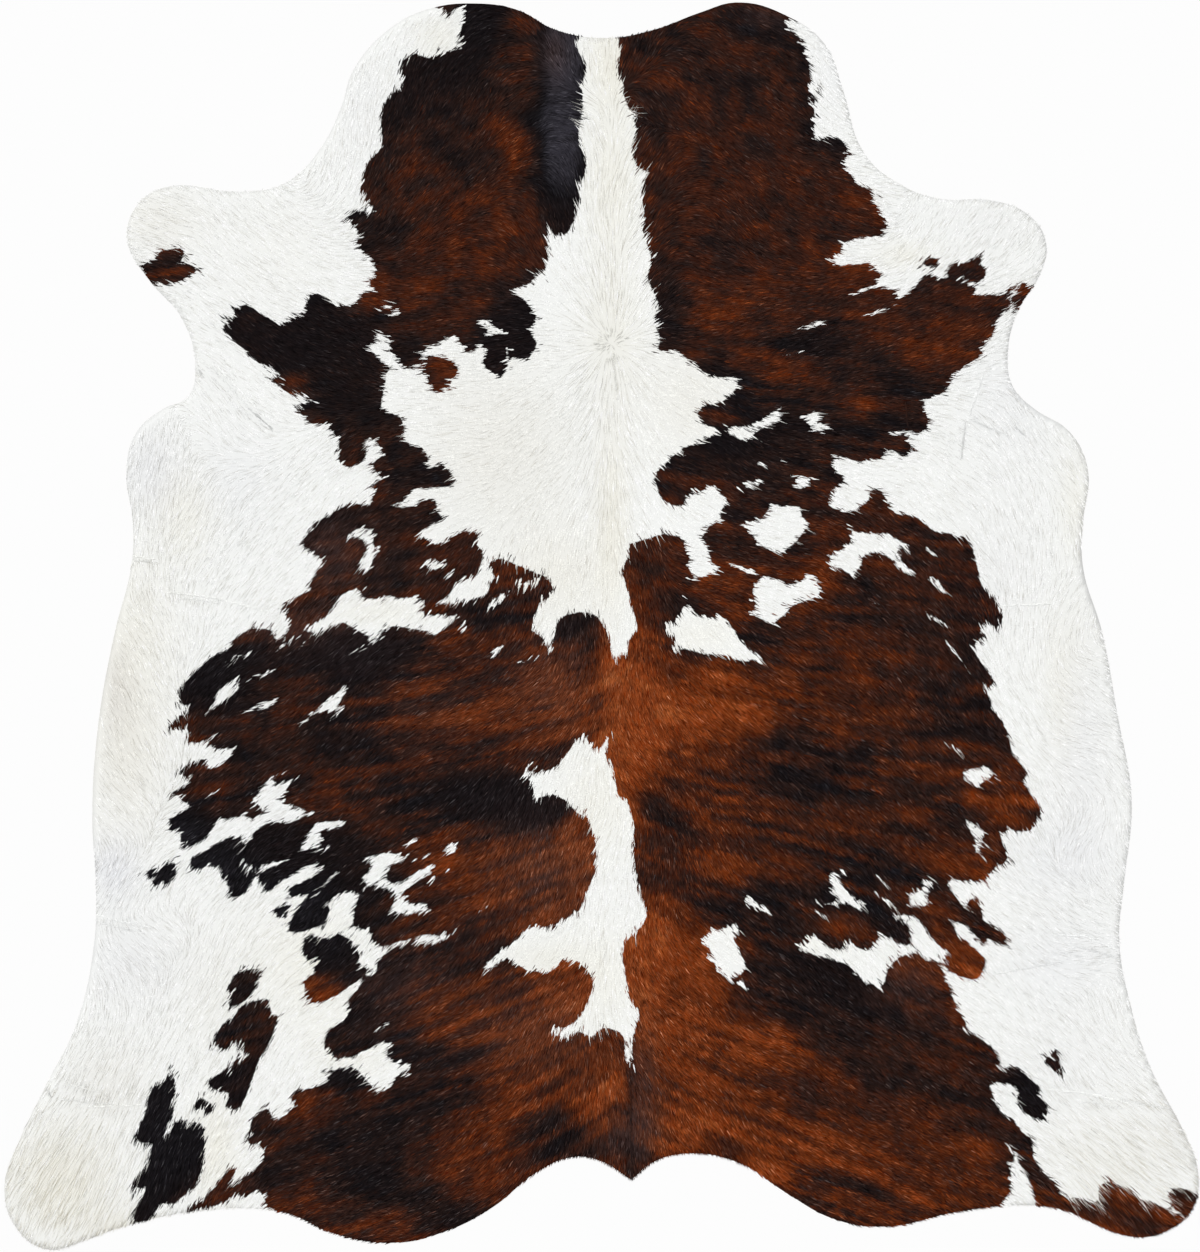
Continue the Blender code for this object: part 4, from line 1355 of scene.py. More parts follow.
class NodeBench:
    """A material's node tree, with short ways to add and join nodes."""

    def __init__(self, name: str) -> None:
        """Starts a material that holds only its Principled shader and output.

        Args:
            name: the material's name.
        """
        self.material = bpy.data.materials.new(name)
        self.material.use_nodes = True
        self.tree = self.material.node_tree
        self.shader = self.tree.nodes["Principled BSDF"]

    def add(self, kind: str, **settings: object) -> bpy.types.Node:
        """A new node.

        Args:
            kind: its type, such as ShaderNodeMath.
            settings: its properties.

        Returns:
            The node.
        """
        node = self.tree.nodes.new(kind)
        for name, value in settings.items():
            setattr(node, name, value)
        return node

    def join(self, output: bpy.types.NodeSocket, target: bpy.types.NodeSocket) -> None:
        """Runs a link from an output to an input."""
        self.tree.links.new(output, target)

    def sum(self, operation: str, *values: object, clamp: bool = False) -> bpy.types.NodeSocket:
        """A Math node.

        Args:
            operation: its name, such as MULTIPLY.
            values: its inputs, each a socket or a number.
            clamp: whether its result stays from 0 to 1.

        Returns:
            Its output.
        """
        node = self.add("ShaderNodeMath", operation=operation, use_clamp=clamp)
        for socket, value in zip(node.inputs, values):
            if isinstance(value, bpy.types.NodeSocket):
                self.join(value, socket)
            else:
                socket.default_value = value
        return node.outputs[0]

    def mix(self, factor: bpy.types.NodeSocket, first: object, second: object) -> bpy.types.NodeSocket:
        """A mix of two colours.

        Args:
            factor: how much of the second colour there is.
            first: a socket, or linear red, green and blue.
            second: the same.

        Returns:
            The mixed colour.
        """
        node = self.add("ShaderNodeMix", data_type="RGBA")
        self.join(factor, node.inputs["Factor"])
        for socket, value in zip([s for s in node.inputs if s.type == "RGBA"], (first, second)):
            if isinstance(value, bpy.types.NodeSocket):
                self.join(value, socket)
            else:
                socket.default_value = (*value, 1.0)
        return next(s for s in node.outputs if s.type == "RGBA")

    def scaled(self, colour: bpy.types.NodeSocket, factor: bpy.types.NodeSocket) -> bpy.types.NodeSocket:
        """A colour made lighter or darker.

        Args:
            colour: the colour.
            factor: what its light is multiplied by.

        Returns:
            The new colour.
        """
        node = self.add("ShaderNodeVectorMath", operation="SCALE")
        self.join(colour, node.inputs[0])
        self.join(factor, node.inputs["Scale"])
        return node.outputs[0]

    def attribute(self, name: str) -> bpy.types.Node:
        """An attribute of the mesh."""
        return self.add("ShaderNodeAttribute", attribute_name=name)

    def bump(self, height: bpy.types.NodeSocket, strength: float, distance: float) -> None:
        """Gives the shader a fine relief.

        Args:
            height: the relief.
            strength: how much of it shows.
            distance: how high it stands.
        """
        node = self.add("ShaderNodeBump")
        node.inputs["Strength"].default_value = strength
        node.inputs["Distance"].default_value = distance
        self.join(height, node.inputs["Height"])
        self.join(node.outputs[0], self.shader.inputs["Normal"])

    def noise(self, scale: float, stretch: tuple[float, float, float] = (1, 1, 1), turn: float = 0.0,
              detail: float = 2.0) -> bpy.types.NodeSocket:
        """Noise on the object's own coordinates.

        Args:
            scale: bumps to a metre.
            stretch: how much finer it is along each axis.
            turn: its turn about Z, in radians.
            detail: how many finer layers it has.

        Returns:
            Its value, from 0 to 1.
        """
        place = self.add("ShaderNodeTexCoord").outputs["Object"]
        turned = self.add("ShaderNodeMapping", vector_type="TEXTURE")
        turned.inputs["Rotation"].default_value[2] = turn
        turned.inputs["Scale"].default_value = [1 / s for s in stretch]
        self.join(place, turned.inputs["Vector"])
        texture = self.add("ShaderNodeTexNoise", noise_dimensions="3D")
        texture.inputs["Scale"].default_value = scale
        texture.inputs["Detail"].default_value = detail
        self.join(turned.outputs[0], texture.inputs["Vector"])
        return texture.outputs["Fac"]


@dataclass(frozen=True)
class CoatFinish:
    """Short glossy hair. Constant values sit on the shader's own sockets."""

    roughness: float = 0.55
    specular: float = 0.025
    streak_length: float = 9 * MM
    streak_width: float = 1.1 * MM
    streak_detail: float = 1.5
    directions: int = 8
    dark_light: float = 0.8
    dark_contrast: float = 1.1
    white_light: float = 0.95
    white_contrast: float = 0.07
    ragged_depth: float = 6 * MM
    patch_softness: float = 1.2 * MM
    bump: float = 0.35 * MM
    bump_strength: float = 0.6
    tuft_noise: float = 520.0
    tuft_contrast: float = 0.9
    tuft_light: float = 0.55

    def _set_gloss(self, bench: NodeBench) -> None:
        """Puts the gloss on a material's shader."""
        bench.shader.inputs["Roughness"].default_value = self.roughness
        bench.shader.inputs["Specular IOR Level"].default_value = self.specular

    def _streaks(self, bench: NodeBench) -> bpy.types.NodeSocket:
        """Fine streaks that follow the lie of the hair.

        Long thin noise is laid in several directions, and each counts where the hair lies its way.
        The attribute lie holds the cosine and sine of twice the hair's angle.

        Args:
            bench: the material's nodes.

        Returns:
            A value round 0.
        """
        lie = bench.add("ShaderNodeSeparateXYZ")
        bench.join(bench.attribute("lie").outputs["Vector"], lie.inputs[0])
        step = math.pi / self.directions
        narrow = math.cos(2 * step)
        total: object = 0.0
        for k in range(self.directions):
            angle = k * step
            cosine = bench.sum("MULTIPLY", lie.outputs["X"], math.cos(2 * angle))
            match = bench.sum("MULTIPLY_ADD", lie.outputs["Y"], math.sin(2 * angle), cosine)
            weight = bench.sum("MULTIPLY_ADD", match, 1 / (1 - narrow), -narrow / (1 - narrow), clamp=True)
            stretch = (self.streak_width / self.streak_length, 1.0, 1.0)
            streak = bench.noise(1 / self.streak_width, stretch, angle, self.streak_detail)
            total = bench.sum("MULTIPLY_ADD", bench.sum("SUBTRACT", streak, 0.5), weight, total)
        return total

    def sheet_material(self) -> bpy.types.Material:
        """The hair on the sheet itself, which shows between the tufts.

        Returns:
            A material that reads the sheet's attributes dark, white, patch and lie.
        """
        bench = NodeBench("coat_on_hide")
        streak = self._streaks(bench)
        dark_light = bench.sum("MULTIPLY_ADD", streak, 2 * self.dark_contrast, self.dark_light)
        dark = bench.scaled(bench.attribute("dark").outputs["Color"], dark_light)
        white_light = bench.sum("MULTIPLY_ADD", streak, 2 * self.white_contrast, self.white_light)
        white = bench.scaled(bench.attribute("white").outputs["Color"], white_light)
        depth = bench.attribute("patch").outputs["Fac"]
        ragged = bench.sum("MULTIPLY_ADD", streak, self.ragged_depth, depth)
        is_dark = bench.sum("MULTIPLY_ADD", ragged, 1 / self.patch_softness, 0.5, clamp=True)
        bench.join(bench.mix(is_dark, white, dark), bench.shader.inputs["Base Color"])
        bench.bump(streak, self.bump_strength, self.bump)
        self._set_gloss(bench)
        return bench.material

    def tuft_material(self) -> bpy.types.Material:
        """The tufts' hair.

        Returns:
            A material that reads each tuft's colour from the attribute coat_colour.
        """
        bench = NodeBench("coat_tufts")
        fine = bench.sum("MULTIPLY_ADD", bench.noise(self.tuft_noise), self.tuft_contrast, self.tuft_light)
        colour = bench.scaled(bench.attribute("coat_colour").outputs["Color"], fine)
        bench.join(colour, bench.shader.inputs["Base Color"])
        self._set_gloss(bench)
        return bench.material


@dataclass(frozen=True)
class SkinFinish:
    """The skin side and the cut edge: pale suede with a fine nap."""

    colour: tuple[int, int, int] = (214, 200, 180)
    shadow: tuple[int, int, int] = (188, 171, 148)
    roughness: float = 0.92
    specular: float = 0.1
    clouds: float = 14.0
    cloud_share: float = 0.6
    fibres: float = 420.0
    fibre_share: float = 0.5
    nap: float = 0.25 * MM
    nap_strength: float = 0.7

    def material(self) -> bpy.types.Material:
        """Suede whose shade changes in soft clouds.

        Returns:
            A material with a bumpy nap.
        """
        bench = NodeBench("skin_suede")
        clouds = bench.sum("MULTIPLY", bench.noise(self.clouds, detail=4.0), self.cloud_share)
        fibres = bench.noise(self.fibres, detail=3.0)
        shade = bench.sum("MULTIPLY_ADD", fibres, self.fibre_share, clouds, clamp=True)
        colour = bench.mix(shade, linear(self.shadow), linear(self.colour))
        bench.join(colour, bench.shader.inputs["Base Color"])
        bench.bump(fibres, self.nap_strength, self.nap)
        bench.shader.inputs["Roughness"].default_value = self.roughness
        bench.shader.inputs["Specular IOR Level"].default_value = self.specular
        return bench.material


@dataclass(frozen=True)
class FloorFinish:
    """A plain white floor that shines softly itself, so that next to no shadow lies round the hide."""

    colour: tuple[int, int, int] = (252, 252, 252)
    glow: float = 0.85
    roughness: float = 0.95

    def material(self) -> bpy.types.Material:
        """Matt paint of one colour.

        Returns:
            A material that gives most of its light itself.
        """
        bench = NodeBench("floor_paint")
        paint = linear(self.colour)
        bench.shader.inputs["Base Color"].default_value = (*(paint * (1 - self.glow)), 1.0)
        bench.shader.inputs["Emission Color"].default_value = (*paint, 1.0)
        bench.shader.inputs["Emission Strength"].default_value = self.glow
        bench.shader.inputs["Roughness"].default_value = self.roughness
        bench.shader.inputs["Specular IOR Level"].default_value = 0.0
        return bench.material


# ---------------------------------------------------------------- the hide and its hair


def add_values(mesh: bpy.types.Mesh, name: str, kind: str, values: np.ndarray) -> None:
    """Stores one value, vector or colour for each vertex of a mesh.

    Args:
        mesh: the mesh.
        name: what materials call the attribute.
        kind: FLOAT, FLOAT_VECTOR or FLOAT_COLOR.
        values: one row for each vertex.
    """
    key = {"FLOAT": "value", "FLOAT_VECTOR": "vector", "FLOAT_COLOR": "color"}[kind]
    mesh.attributes.new(name, kind, "POINT").data.foreach_set(key, np.asarray(values, np.float32).ravel())


def vertex_places(mesh: bpy.types.Mesh) -> np.ndarray:
    """The places of a mesh's vertices.

    Args:
        mesh: the mesh.

    Returns:
        (n, 3) places.
    """
    co = np.empty(3 * len(mesh.vertices))
    mesh.vertices.foreach_get("co", co)
    return co.reshape(-1, 3)


def with_alpha(colours: np.ndarray) -> np.ndarray:
    """Colours with an opaque fourth value."""
    return np.concatenate([colours, np.ones(colours.shape[:-1] + (1,))], axis=-1)


@dataclass
class HideSheet:
    """The tanned hide as one thin closed sheet: hair side on top, suede under it and at its edge."""

    edge: CutEdge
    relief: Relief
    flow: HairFlow
    coat: Coat
    coat_finish: CoatFinish
    skin_finish: SkinFinish
    cell: float = 11.5 * MM
    rim_keep: float = 0.45
    rim_passes: int = 3
    even_cells: float = 4.0
    even_passes: int = 6
    even_share: float = 0.5
    undercut: float = 0.5 * MM
    on_floor: float = 1e-6
    facing_down: float = 0.9
    map_cushion: float = 6 * MM
    under_corner: tuple[float, float] = (0.965, 0.01)
    under_scale: float = 0.03

    def build(self) -> bpy.types.Object:
        """The finished sheet.

        Returns:
            The object hide_sheet, with its attributes, map and materials.
        """
        sheet = bmesh.new()
        self._lay_net(sheet)
        self._fit_to_edge(sheet)
        self._shape_top(sheet)
        self._close_under(sheet)
        mesh = bpy.data.meshes.new("hide_sheet")
        sheet.to_mesh(mesh)
        sheet.free()
        for finish in (self.coat_finish.sheet_material(), self.skin_finish.material()):
            mesh.materials.append(finish)
        self._dress(mesh)
        self._add_map(mesh)
        mesh.shade_smooth()
        piece = bpy.data.objects.new("hide_sheet", mesh)
        bpy.context.scene.collection.objects.link(piece)
        return piece

    def _places(self, verts: Sequence[bmesh.types.BMVert]) -> np.ndarray:
        """Where these vertices lie, seen from above."""
        return np.array([v.co[:2] for v in verts])

    def _lay_net(self, sheet: bmesh.types.BMesh) -> None:
        """Lays a square net of faces, without those past the edge.

        Args:
            sheet: the empty mesh.
        """
        low, high = Vector(cad_box[0]), Vector(cad_box[1])
        size, middle = high - low, (high + low) / 2
        place = Matrix.Translation((middle.x, middle.y, 0)) @ Matrix.Diagonal((size.x / 2, size.y / 2, 1, 1))
        bmesh.ops.create_grid(
            sheet,
            x_segments=round(size.x / self.cell),
            y_segments=round(size.y / self.cell),
            size=1.0,
            matrix=place,
        )
        verts = list(sheet.verts)
        outside = self.edge.depth(self._places(verts)) < -self.rim_keep * self.cell
        bmesh.ops.delete(sheet, geom=[v for v, gone in zip(verts, outside) if gone], context="VERTS")
        bmesh.ops.delete(sheet, geom=[v for v in sheet.verts if not v.link_faces], context="VERTS")

    def _fit_to_edge(self, sheet: bmesh.types.BMesh) -> None:
        """Moves the net's rim onto the cut edge, and evens out the faces just inside it.

        Args:
            sheet: the flat net.
        """
        rim = [v for v in sheet.verts if v.is_boundary]
        for _ in range(self.rim_passes):
            places = self._places(rim)
            moved = places - self.edge.depth(places)[:, None] * self.edge.inward(places)
            for vert, place in zip(rim, moved):
                vert.co.xy = place
        verts = list(sheet.verts)
        depths = self.edge.depth(self._places(verts))
        near = [v for v, d in zip(verts, depths) if d < self.even_cells * self.cell and not v.is_boundary]
        evening = {"factor": self.even_share, "use_axis_x": True, "use_axis_y": True}
        for _ in range(self.even_passes):
            bmesh.ops.smooth_vert(sheet, verts=near, **evening)

    def _shape_top(self, sheet: bmesh.types.BMesh) -> None:
        """Lifts the net to the hide's upper face.

        Args:
            sheet: the net, fitted to the cut edge.
        """
        verts = list(sheet.verts)
        for vert, height in zip(verts, self.relief.height(self._places(verts))):
            vert.co.z = height
        for face in sheet.faces:
            if face.normal.z < 0:
                face.normal_flip()

    def _close_under(self, sheet: bmesh.types.BMesh) -> None:
        """Takes the rim down to the floor, drawn in a little, and closes the skin side.

        Args:
            sheet: the upper face, open below.
        """
        rim = [e for e in sheet.edges if e.is_boundary]
        grown = bmesh.ops.extrude_edge_only(sheet, edges=rim)["geom"]
        low_verts = [g for g in grown if isinstance(g, bmesh.types.BMVert)]
        edges = [g for g in grown if isinstance(g, bmesh.types.BMEdge)]
        low_edges = [e for e in edges if all(v in set(low_verts) for v in e.verts)]
        inward = self.edge.inward(self._places(low_verts))
        for vert, towards in zip(low_verts, inward):
            vert.co.xy += Vector(towards * self.undercut)
            vert.co.z = 0.0
        walls = [g for g in grown if isinstance(g, bmesh.types.BMFace)]
        under = bmesh.ops.edgeloop_fill(sheet, edges=low_edges)["faces"]
        for face in walls + under:
            face.material_index = 1
        bmesh.ops.recalc_face_normals(sheet, faces=sheet.faces)

    def _dress(self, mesh: bpy.types.Mesh) -> None:
        """Gives each vertex its coat colours, its place in the patches and the lie of the hair.

        Args:
            mesh: the closed sheet.
        """
        places = vertex_places(mesh)[:, :2]
        angle = self.flow.angle(places)
        lie = np.stack([np.cos(2 * angle), np.sin(2 * angle), 0 * angle], axis=1)
        add_values(mesh, "lie", "FLOAT_VECTOR", lie)
        add_values(mesh, "patch", "FLOAT", self.coat.patch_net.read(self.coat.patches, places))
        add_values(mesh, "dark", "FLOAT_COLOR", with_alpha(self.coat.dark_colours(places)))
        add_values(mesh, "white", "FLOAT_COLOR", with_alpha(self.coat.white_colours(places)))

    def _add_map(self, mesh: bpy.types.Mesh) -> None:
        """Adds a flat map of the hair side, with the edge folded out and the skin side small beside it.

        Args:
            mesh: the closed sheet.
        """
        loops = np.empty(len(mesh.loops), int)
        mesh.loops.foreach_get("vertex_index", loops)
        co = vertex_places(mesh)
        low, high = co[:, :2].min(axis=0), co[:, :2].max(axis=0)
        size = float((high - low).max()) + 6 * self.map_cushion
        flat = (co[:, :2] - low + 2 * self.map_cushion) / size
        folded = flat - self.edge.inward(co[:, :2]) * self.map_cushion / size
        is_low = co[:, 2] < self.on_floor
        mapped = np.where(is_low[:, None], folded, flat)[loops]
        for polygon in mesh.polygons:
            if polygon.normal.z < -self.facing_down:
                span = slice(polygon.loop_start, polygon.loop_start + polygon.loop_total)
                mapped[span] = self.under_corner + self.under_scale * flat[loops[span]]
        layer = mesh.uv_layers.new(name="OFBake")
        layer.data.foreach_set("uv", mapped.astype(np.float32).ravel())


class Band(NamedTuple):
    """A band along the hide where the hair stands up, in millimetres, and where it fades in."""

    x: float
    half_width: float
    start: float
    end: float

    def share(self, x: np.ndarray, y: np.ndarray) -> np.ndarray:
        """How much of the band there is.

        Args:
            x: the places along X.
            y: how far the places lie along the band.

        Returns:
            One share for each place, from 0 to 1.
        """
        across = (x - self.x * MM) / (self.half_width * MM)
        return np.exp(-(across**2)) * smooth_step(y, self.start * MM, self.end * MM)


@dataclass(frozen=True)
class LineHair:
    """Sizes of the hair that lies along the creases and round the whorl."""

    step: float = 1.6 * MM
    spread: float = 0.7 * MM
    turn_spread: float = 5.0
    end_fade: float = 0.5
    strength: tuple[float, float] = (0.6, 1.2)
    whorl_hairs: int = 80
    whorl_reach_mm: float = 26.0
    whorl_crowding: float = 0.7
    whorl_turn_spread: float = 7.0
    whorl_light: tuple[float, float] = (0.7, 1.0)
    length_mm: tuple[float, float] = (7.0, 13.0)
    width_mm: tuple[float, float] = (1.2, 2.0)
    lift_mm: tuple[float, float] = (1.3, 1.6)
    ridge: float = 0.3 * MM
    raised: float = 0.8 * MM
    lightest: float = 0.95


@dataclass(frozen=True)
class TuftShades:
    """How far the tufts' colours lie round the coat's own."""

    stray_share: float = 0.06
    stray: tuple[float, float] = (0.05, 0.25)
    warmth_spread: float = 0.07
    least_change: float = 0.35
    # Painted highlights and painted shade on the dark hair: grey added to or taken from each tuft, with
    # glints on a few, stronger lower down the hide and on warm brown.
    shine_spread: float = 9.5
    shine_level: float = -2.5
    glint_share: float = 0.07
    glint: tuple[float, float] = (12.0, 36.0)
    shine_strength: float = 0.78
    lower_shine: float = 0.3
    lower_range: tuple[float, float] = (-400 * MM, 0.0)
    warm_shine: float = 0.35
    warm_range: tuple[float, float] = (0.4, 1.0)
    # Painted shade: the share of dark tufts darkened as if in their neighbours' shade, how much, and how
    # much lighter the lit rest are.
    shadowed_share: float = 0.28
    shadowed: tuple[float, float] = (0.4, 0.75)
    open_light: float = 1.08
    white_spread: float = 0.02
    coarse_lift: float = 0.02
    coarse_spread: float = 0.09
    # Painted shade of the white tufts that lie in their neighbours' shade.
    shaded: tuple[float, float] = (0.8, 0.92)
    coarse_shade: float = 0.12
    shag_warmth: float = 0.4
    shaded_shag_warmth: float = 1.5
    lightest: float = 0.93

    # How much red, green and blue the white hair loses to a warmer tint: in the painted shade of the shaded
    # tufts, and on the long hair of the hind feet.
    WARMTH = np.array((0.0, 0.014, 0.04))
    # How light a tuft's corners are, from root to tip.
    DARK_STEPS = (0.8, 1.0, 1.0, 1.15)
    WHITE_STEPS = (0.95, 1.0, 1.0, 1.01)


@dataclass
class HairTufts:
    """The lying hair: slim closed tufts, a ridge from root to tip over a flat belly."""

    edge: CutEdge
    relief: Relief
    flow: HairFlow
    coat: Coat
    finish: CoatFinish
    line: LineHair = LineHair()
    shades: TuftShades = TuftShades()
    spacing: float = 3.75 * MM
    root_scatter: float = 0.55
    edge_margin: float = 0.6 * MM
    white_share: float = 0.46
    thin_from: float = 6 * MM
    dark_length: float = 18 * MM
    white_length: float = 20 * MM
    length_spread: tuple[float, float] = (0.75, 1.2)
    shag_growth: float = 0.8
    fluff_growth: float = 0.5
    shaded_length: float = 1.45
    crease_cut: float = 0.5
    dark_width: float = 1.75 * MM
    white_width: float = 3.0 * MM
    width_spread: tuple[float, float] = (0.75, 1.3)
    shaded_width: float = 0.52
    coarse_thinning: float = 0.3
    shaded_share: float = 0.1
    coarse_shaded_share: float = 0.24
    dark_ridge_mm: float = 0.4
    white_ridge_mm: float = 0.2
    coarse_ridge_mm: float = 0.4
    lift_mm: tuple[float, float] = (0.55, 1.25)
    belly: float = 0.38
    root_depth: float = 0.25 * MM
    turn_spread: float = 4.5
    colour_ahead: float = 12 * MM
    shade_ahead: float = 8 * MM
    shade_range: tuple[float, float] = (-0.05, 0.5)
    patch_growth: float = 1.6 * MM
    patch_fray: float = 0.8 * MM
    patch_rim: float = 13 * MM
    clump_seed: int = 14
    clump_period: int = 256
    clump_size: float = 6.5 * MM
    clump_scatter: float = 0.42
    clump_pull: float = 1.0
    dark_pull: float = 0.55
    coarse_pull: float = 0.4
    clump_colour: float = 0.85
    clump_reach: float = 6.5 * MM
    clump_reach_along: float = 0.35
    clump_turn: float = 11.0
    overhang_mm: float = 1.2
    low_overhang_mm: float = 4.0
    low_from: float = -880 * MM
    overhang_spread: tuple[float, float] = (0.3, 1.1)
    least_outwards: float = 0.3
    shortest: float = 5 * MM
    neck_from: float = 390 * MM
    rump_from: float = -325 * MM
    middle: float = 10 * MM
    most_in_piece: int = 49_900
    seed: int = 5

    # Faces of a tuft over its corners root, left, right and tip, all turned outwards.
    FACES = ((0, 2, 3), (0, 3, 1), (0, 1, 2), (1, 3, 2))
    # Where the hair stands up along the spine.
    NECK_BAND = Band(12, 50, 60, 260)
    LOWER_BAND = Band(20, 60, 150, 260)
    LOWER_SHARE = 0.4
    # Where the hair is long: how far down the hide, and how far to the side.
    SHAG_DOWN = (700 * MM, 950 * MM)
    SHAG_ASIDE = (700 * MM, 900 * MM)
    # Where single hairs show in the white coat: near its outer edge and round the whorl.
    COARSE_FROM = 180 * MM
    COARSE_OVER = 700 * MM
    COARSE_WHORL = 70 * MM
    COARSEST = 1.4
    # How much of it the outer edge, the standing hair, the long hair and the whorl each give.
    COARSE_SHARES = (0.9, 0.9, 0.5, 0.5)

    def build(self) -> list[bpy.types.Object]:
        """The tufts of the whole hide.

        Returns:
            One object for each part of the hide.
        """
        rng = np.random.default_rng(self.seed)
        roots = self._roots(rng)
        corners, colours = self._shape(roots, rng)
        line_corners, line_colours = self._line_hair(rng)
        corners = np.concatenate([corners, line_corners])
        colours = np.concatenate([colours, line_colours])
        finish = self.finish.tuft_material()
        pieces = []
        for name, inside in self._parts(corners[:, 0, :2]):
            chosen = np.flatnonzero(inside)
            if len(chosen) > self.most_in_piece:
                chosen = np.sort(rng.choice(chosen, self.most_in_piece, replace=False))
            pieces.append(self._piece(f"hair_{name}", corners[chosen], colours[chosen], finish))
        return pieces

    def _roots(self, rng: np.random.Generator) -> np.ndarray:
        """Where the tufts grow: evenly but not in rows, more thinly in the white coat.

        Args:
            rng: the source of every chance value.

        Returns:
            (n, 2) places of the roots.
        """
        low, high = Vector(cad_box[0]), Vector(cad_box[1])
        row_step = self.spacing * math.sqrt(3) / 2
        x, y = np.meshgrid(np.arange(low.x, high.x, self.spacing), np.arange(low.y, high.y, row_step))
        x[1::2] += self.spacing / 2
        places = np.stack([x.ravel(), y.ravel()], axis=1)
        places += rng.uniform(-self.root_scatter, self.root_scatter, places.shape) * self.spacing
        chance = rng.uniform(0, 1, len(places))
        kept = self.edge.depth(places) > self.edge_margin
        kept &= (chance < self.white_share) | (self.coat.darkness(places) > -self.thin_from)
        return places[kept]

    def _parts(self, roots: np.ndarray) -> list[tuple[str, np.ndarray]]:
        """The parts of the hide.

        Args:
            roots: (n, 2) places of the roots.

        Returns:
            The name of each part, and which roots it holds.
        """
        x, y = roots.T
        is_neck, is_rump = y > self.neck_from, y <= self.rump_from
        bands = {"neck": is_neck, "barrel": ~is_neck & ~is_rump, "rump": is_rump}
        sides = {"left": x < self.middle, "right": x >= self.middle}
        pairs = itertools.product(bands.items(), sides.items())
        return [(f"{side}_{band}", inside & beside) for (band, inside), (side, beside) in pairs]

    def _shape(self, roots: np.ndarray, rng: np.random.Generator) -> tuple[np.ndarray, np.ndarray]:
        """The corners and colours of every tuft.

        Args:
            roots: (n, 2) places of the roots.
            rng: the source of every chance value.

        Returns:
            (n, 4, 3) corners, and (n, 4, 4) linear colours.
        """
        count = len(roots)
        lie = self.flow.angle(roots)
        clump, chance = self._clumps(roots)
        ahead = roots + self.colour_ahead * np.stack([np.cos(lie), np.sin(lie)], axis=1)
        near_edge = np.exp(-((self.coat.patch_net.read(self.coat.patches, ahead) / self.patch_rim) ** 2))
        turn = rng.normal(0, self.turn_spread, count) + self.clump_turn * chance[:, 1] * near_edge
        angle = lie + np.radians(turn)
        way = np.stack([np.cos(angle), np.sin(angle)], axis=1)
        middle = roots + way * self.colour_ahead
        seat = middle + self.clump_colour * (clump - roots)
        along = self.clump_reach_along
        reach = self.clump_reach * chance[:, 0] * (along + (1 - along) * self.coat.facing(middle, lie))
        fray = rng.normal(self.patch_growth, self.patch_fray, count)
        is_dark = self.coat.darkness(seat) + reach + fray > 0
        coarse = self._coarseness(roots)
        is_shaded = rng.uniform(0, 1, count) < self.shaded_share + self.coarse_shaded_share * coarse
        length = np.where(is_dark, self.dark_length, self.white_length)
        length = length * rng.uniform(*self.length_spread, count)
        length *= 1 + self.shag_growth * self._shag(roots) + self.fluff_growth * self._fluff(roots)
        width = np.where(is_dark, self.dark_width, self.white_width)
        width = width * rng.uniform(*self.width_spread, count)
        length = np.where(is_shaded & ~is_dark, self.shaded_length, 1.0) * length
        thin = np.where(is_shaded, self.shaded_width, 1.0)
        width = np.where(is_dark, width, width * thin * (1 - self.coarse_thinning * coarse))
        plain_pull = np.where(is_dark, self.dark_pull, self.coarse_pull * coarse)
        pull = np.maximum(plain_pull, self.clump_pull * near_edge)
        offset = clump - roots
        sideways = offset - way * np.einsum("ij,ij->i", offset, way)[:, None]
        way = way + sideways * (pull / length)[:, None]
        way /= np.linalg.norm(way, axis=1, keepdims=True)
        length = length * (1 - self.crease_cut * self.relief.creased(roots))
        length = self._trimmed(roots, way, length, rng)
        white_ridge = self.white_ridge_mm + self.coarse_ridge_mm * coarse
        ridge = np.where(is_dark, self.dark_ridge_mm, white_ridge) * MM
        lift = rng.uniform(*self.lift_mm, count) * MM
        corners = self._corners(roots, way, length, width, ridge, lift)
        colours = self._colours(middle, is_dark, is_shaded, coarse, rng)
        # Painted shade beside the creases.
        shade = np.clip(self.relief.shade(roots + way * self.shade_ahead), *self.shade_range)
        colours[:, :, :3] *= 1 - shade[:, None, None]
        return corners, colours

    def _clumps(self, roots: np.ndarray) -> tuple[np.ndarray, np.ndarray]:
        """The clump that each tuft belongs to: the one whose middle is nearest.

        Args:
            roots: (n, 2) places of the roots.

        Returns:
            (n, 2) middles of the clumps, and (n, 2) chance values from -1 to 1 of each tuft's clump.
        """
        period = self.clump_period
        scatter = np.random.default_rng(self.clump_seed).uniform(-1, 1, (period, period, 4))
        cell = np.floor(roots / self.clump_size).astype(int)
        middles, chances, gaps = roots.copy(), np.zeros_like(roots), np.full(len(roots), np.inf)
        for i, j in itertools.product((-1, 0, 1), repeat=2):
            near = cell + (i, j)
            drawn = scatter[near[:, 0] % period, near[:, 1] % period]
            middle = (near + 0.5 + self.clump_scatter * drawn[:, :2]) * self.clump_size
            gap = np.linalg.norm(roots - middle, axis=1)
            closer = gap < gaps
            middles[closer], chances[closer], gaps[closer] = middle[closer], drawn[closer, 2:], gap[closer]
        return middles, chances

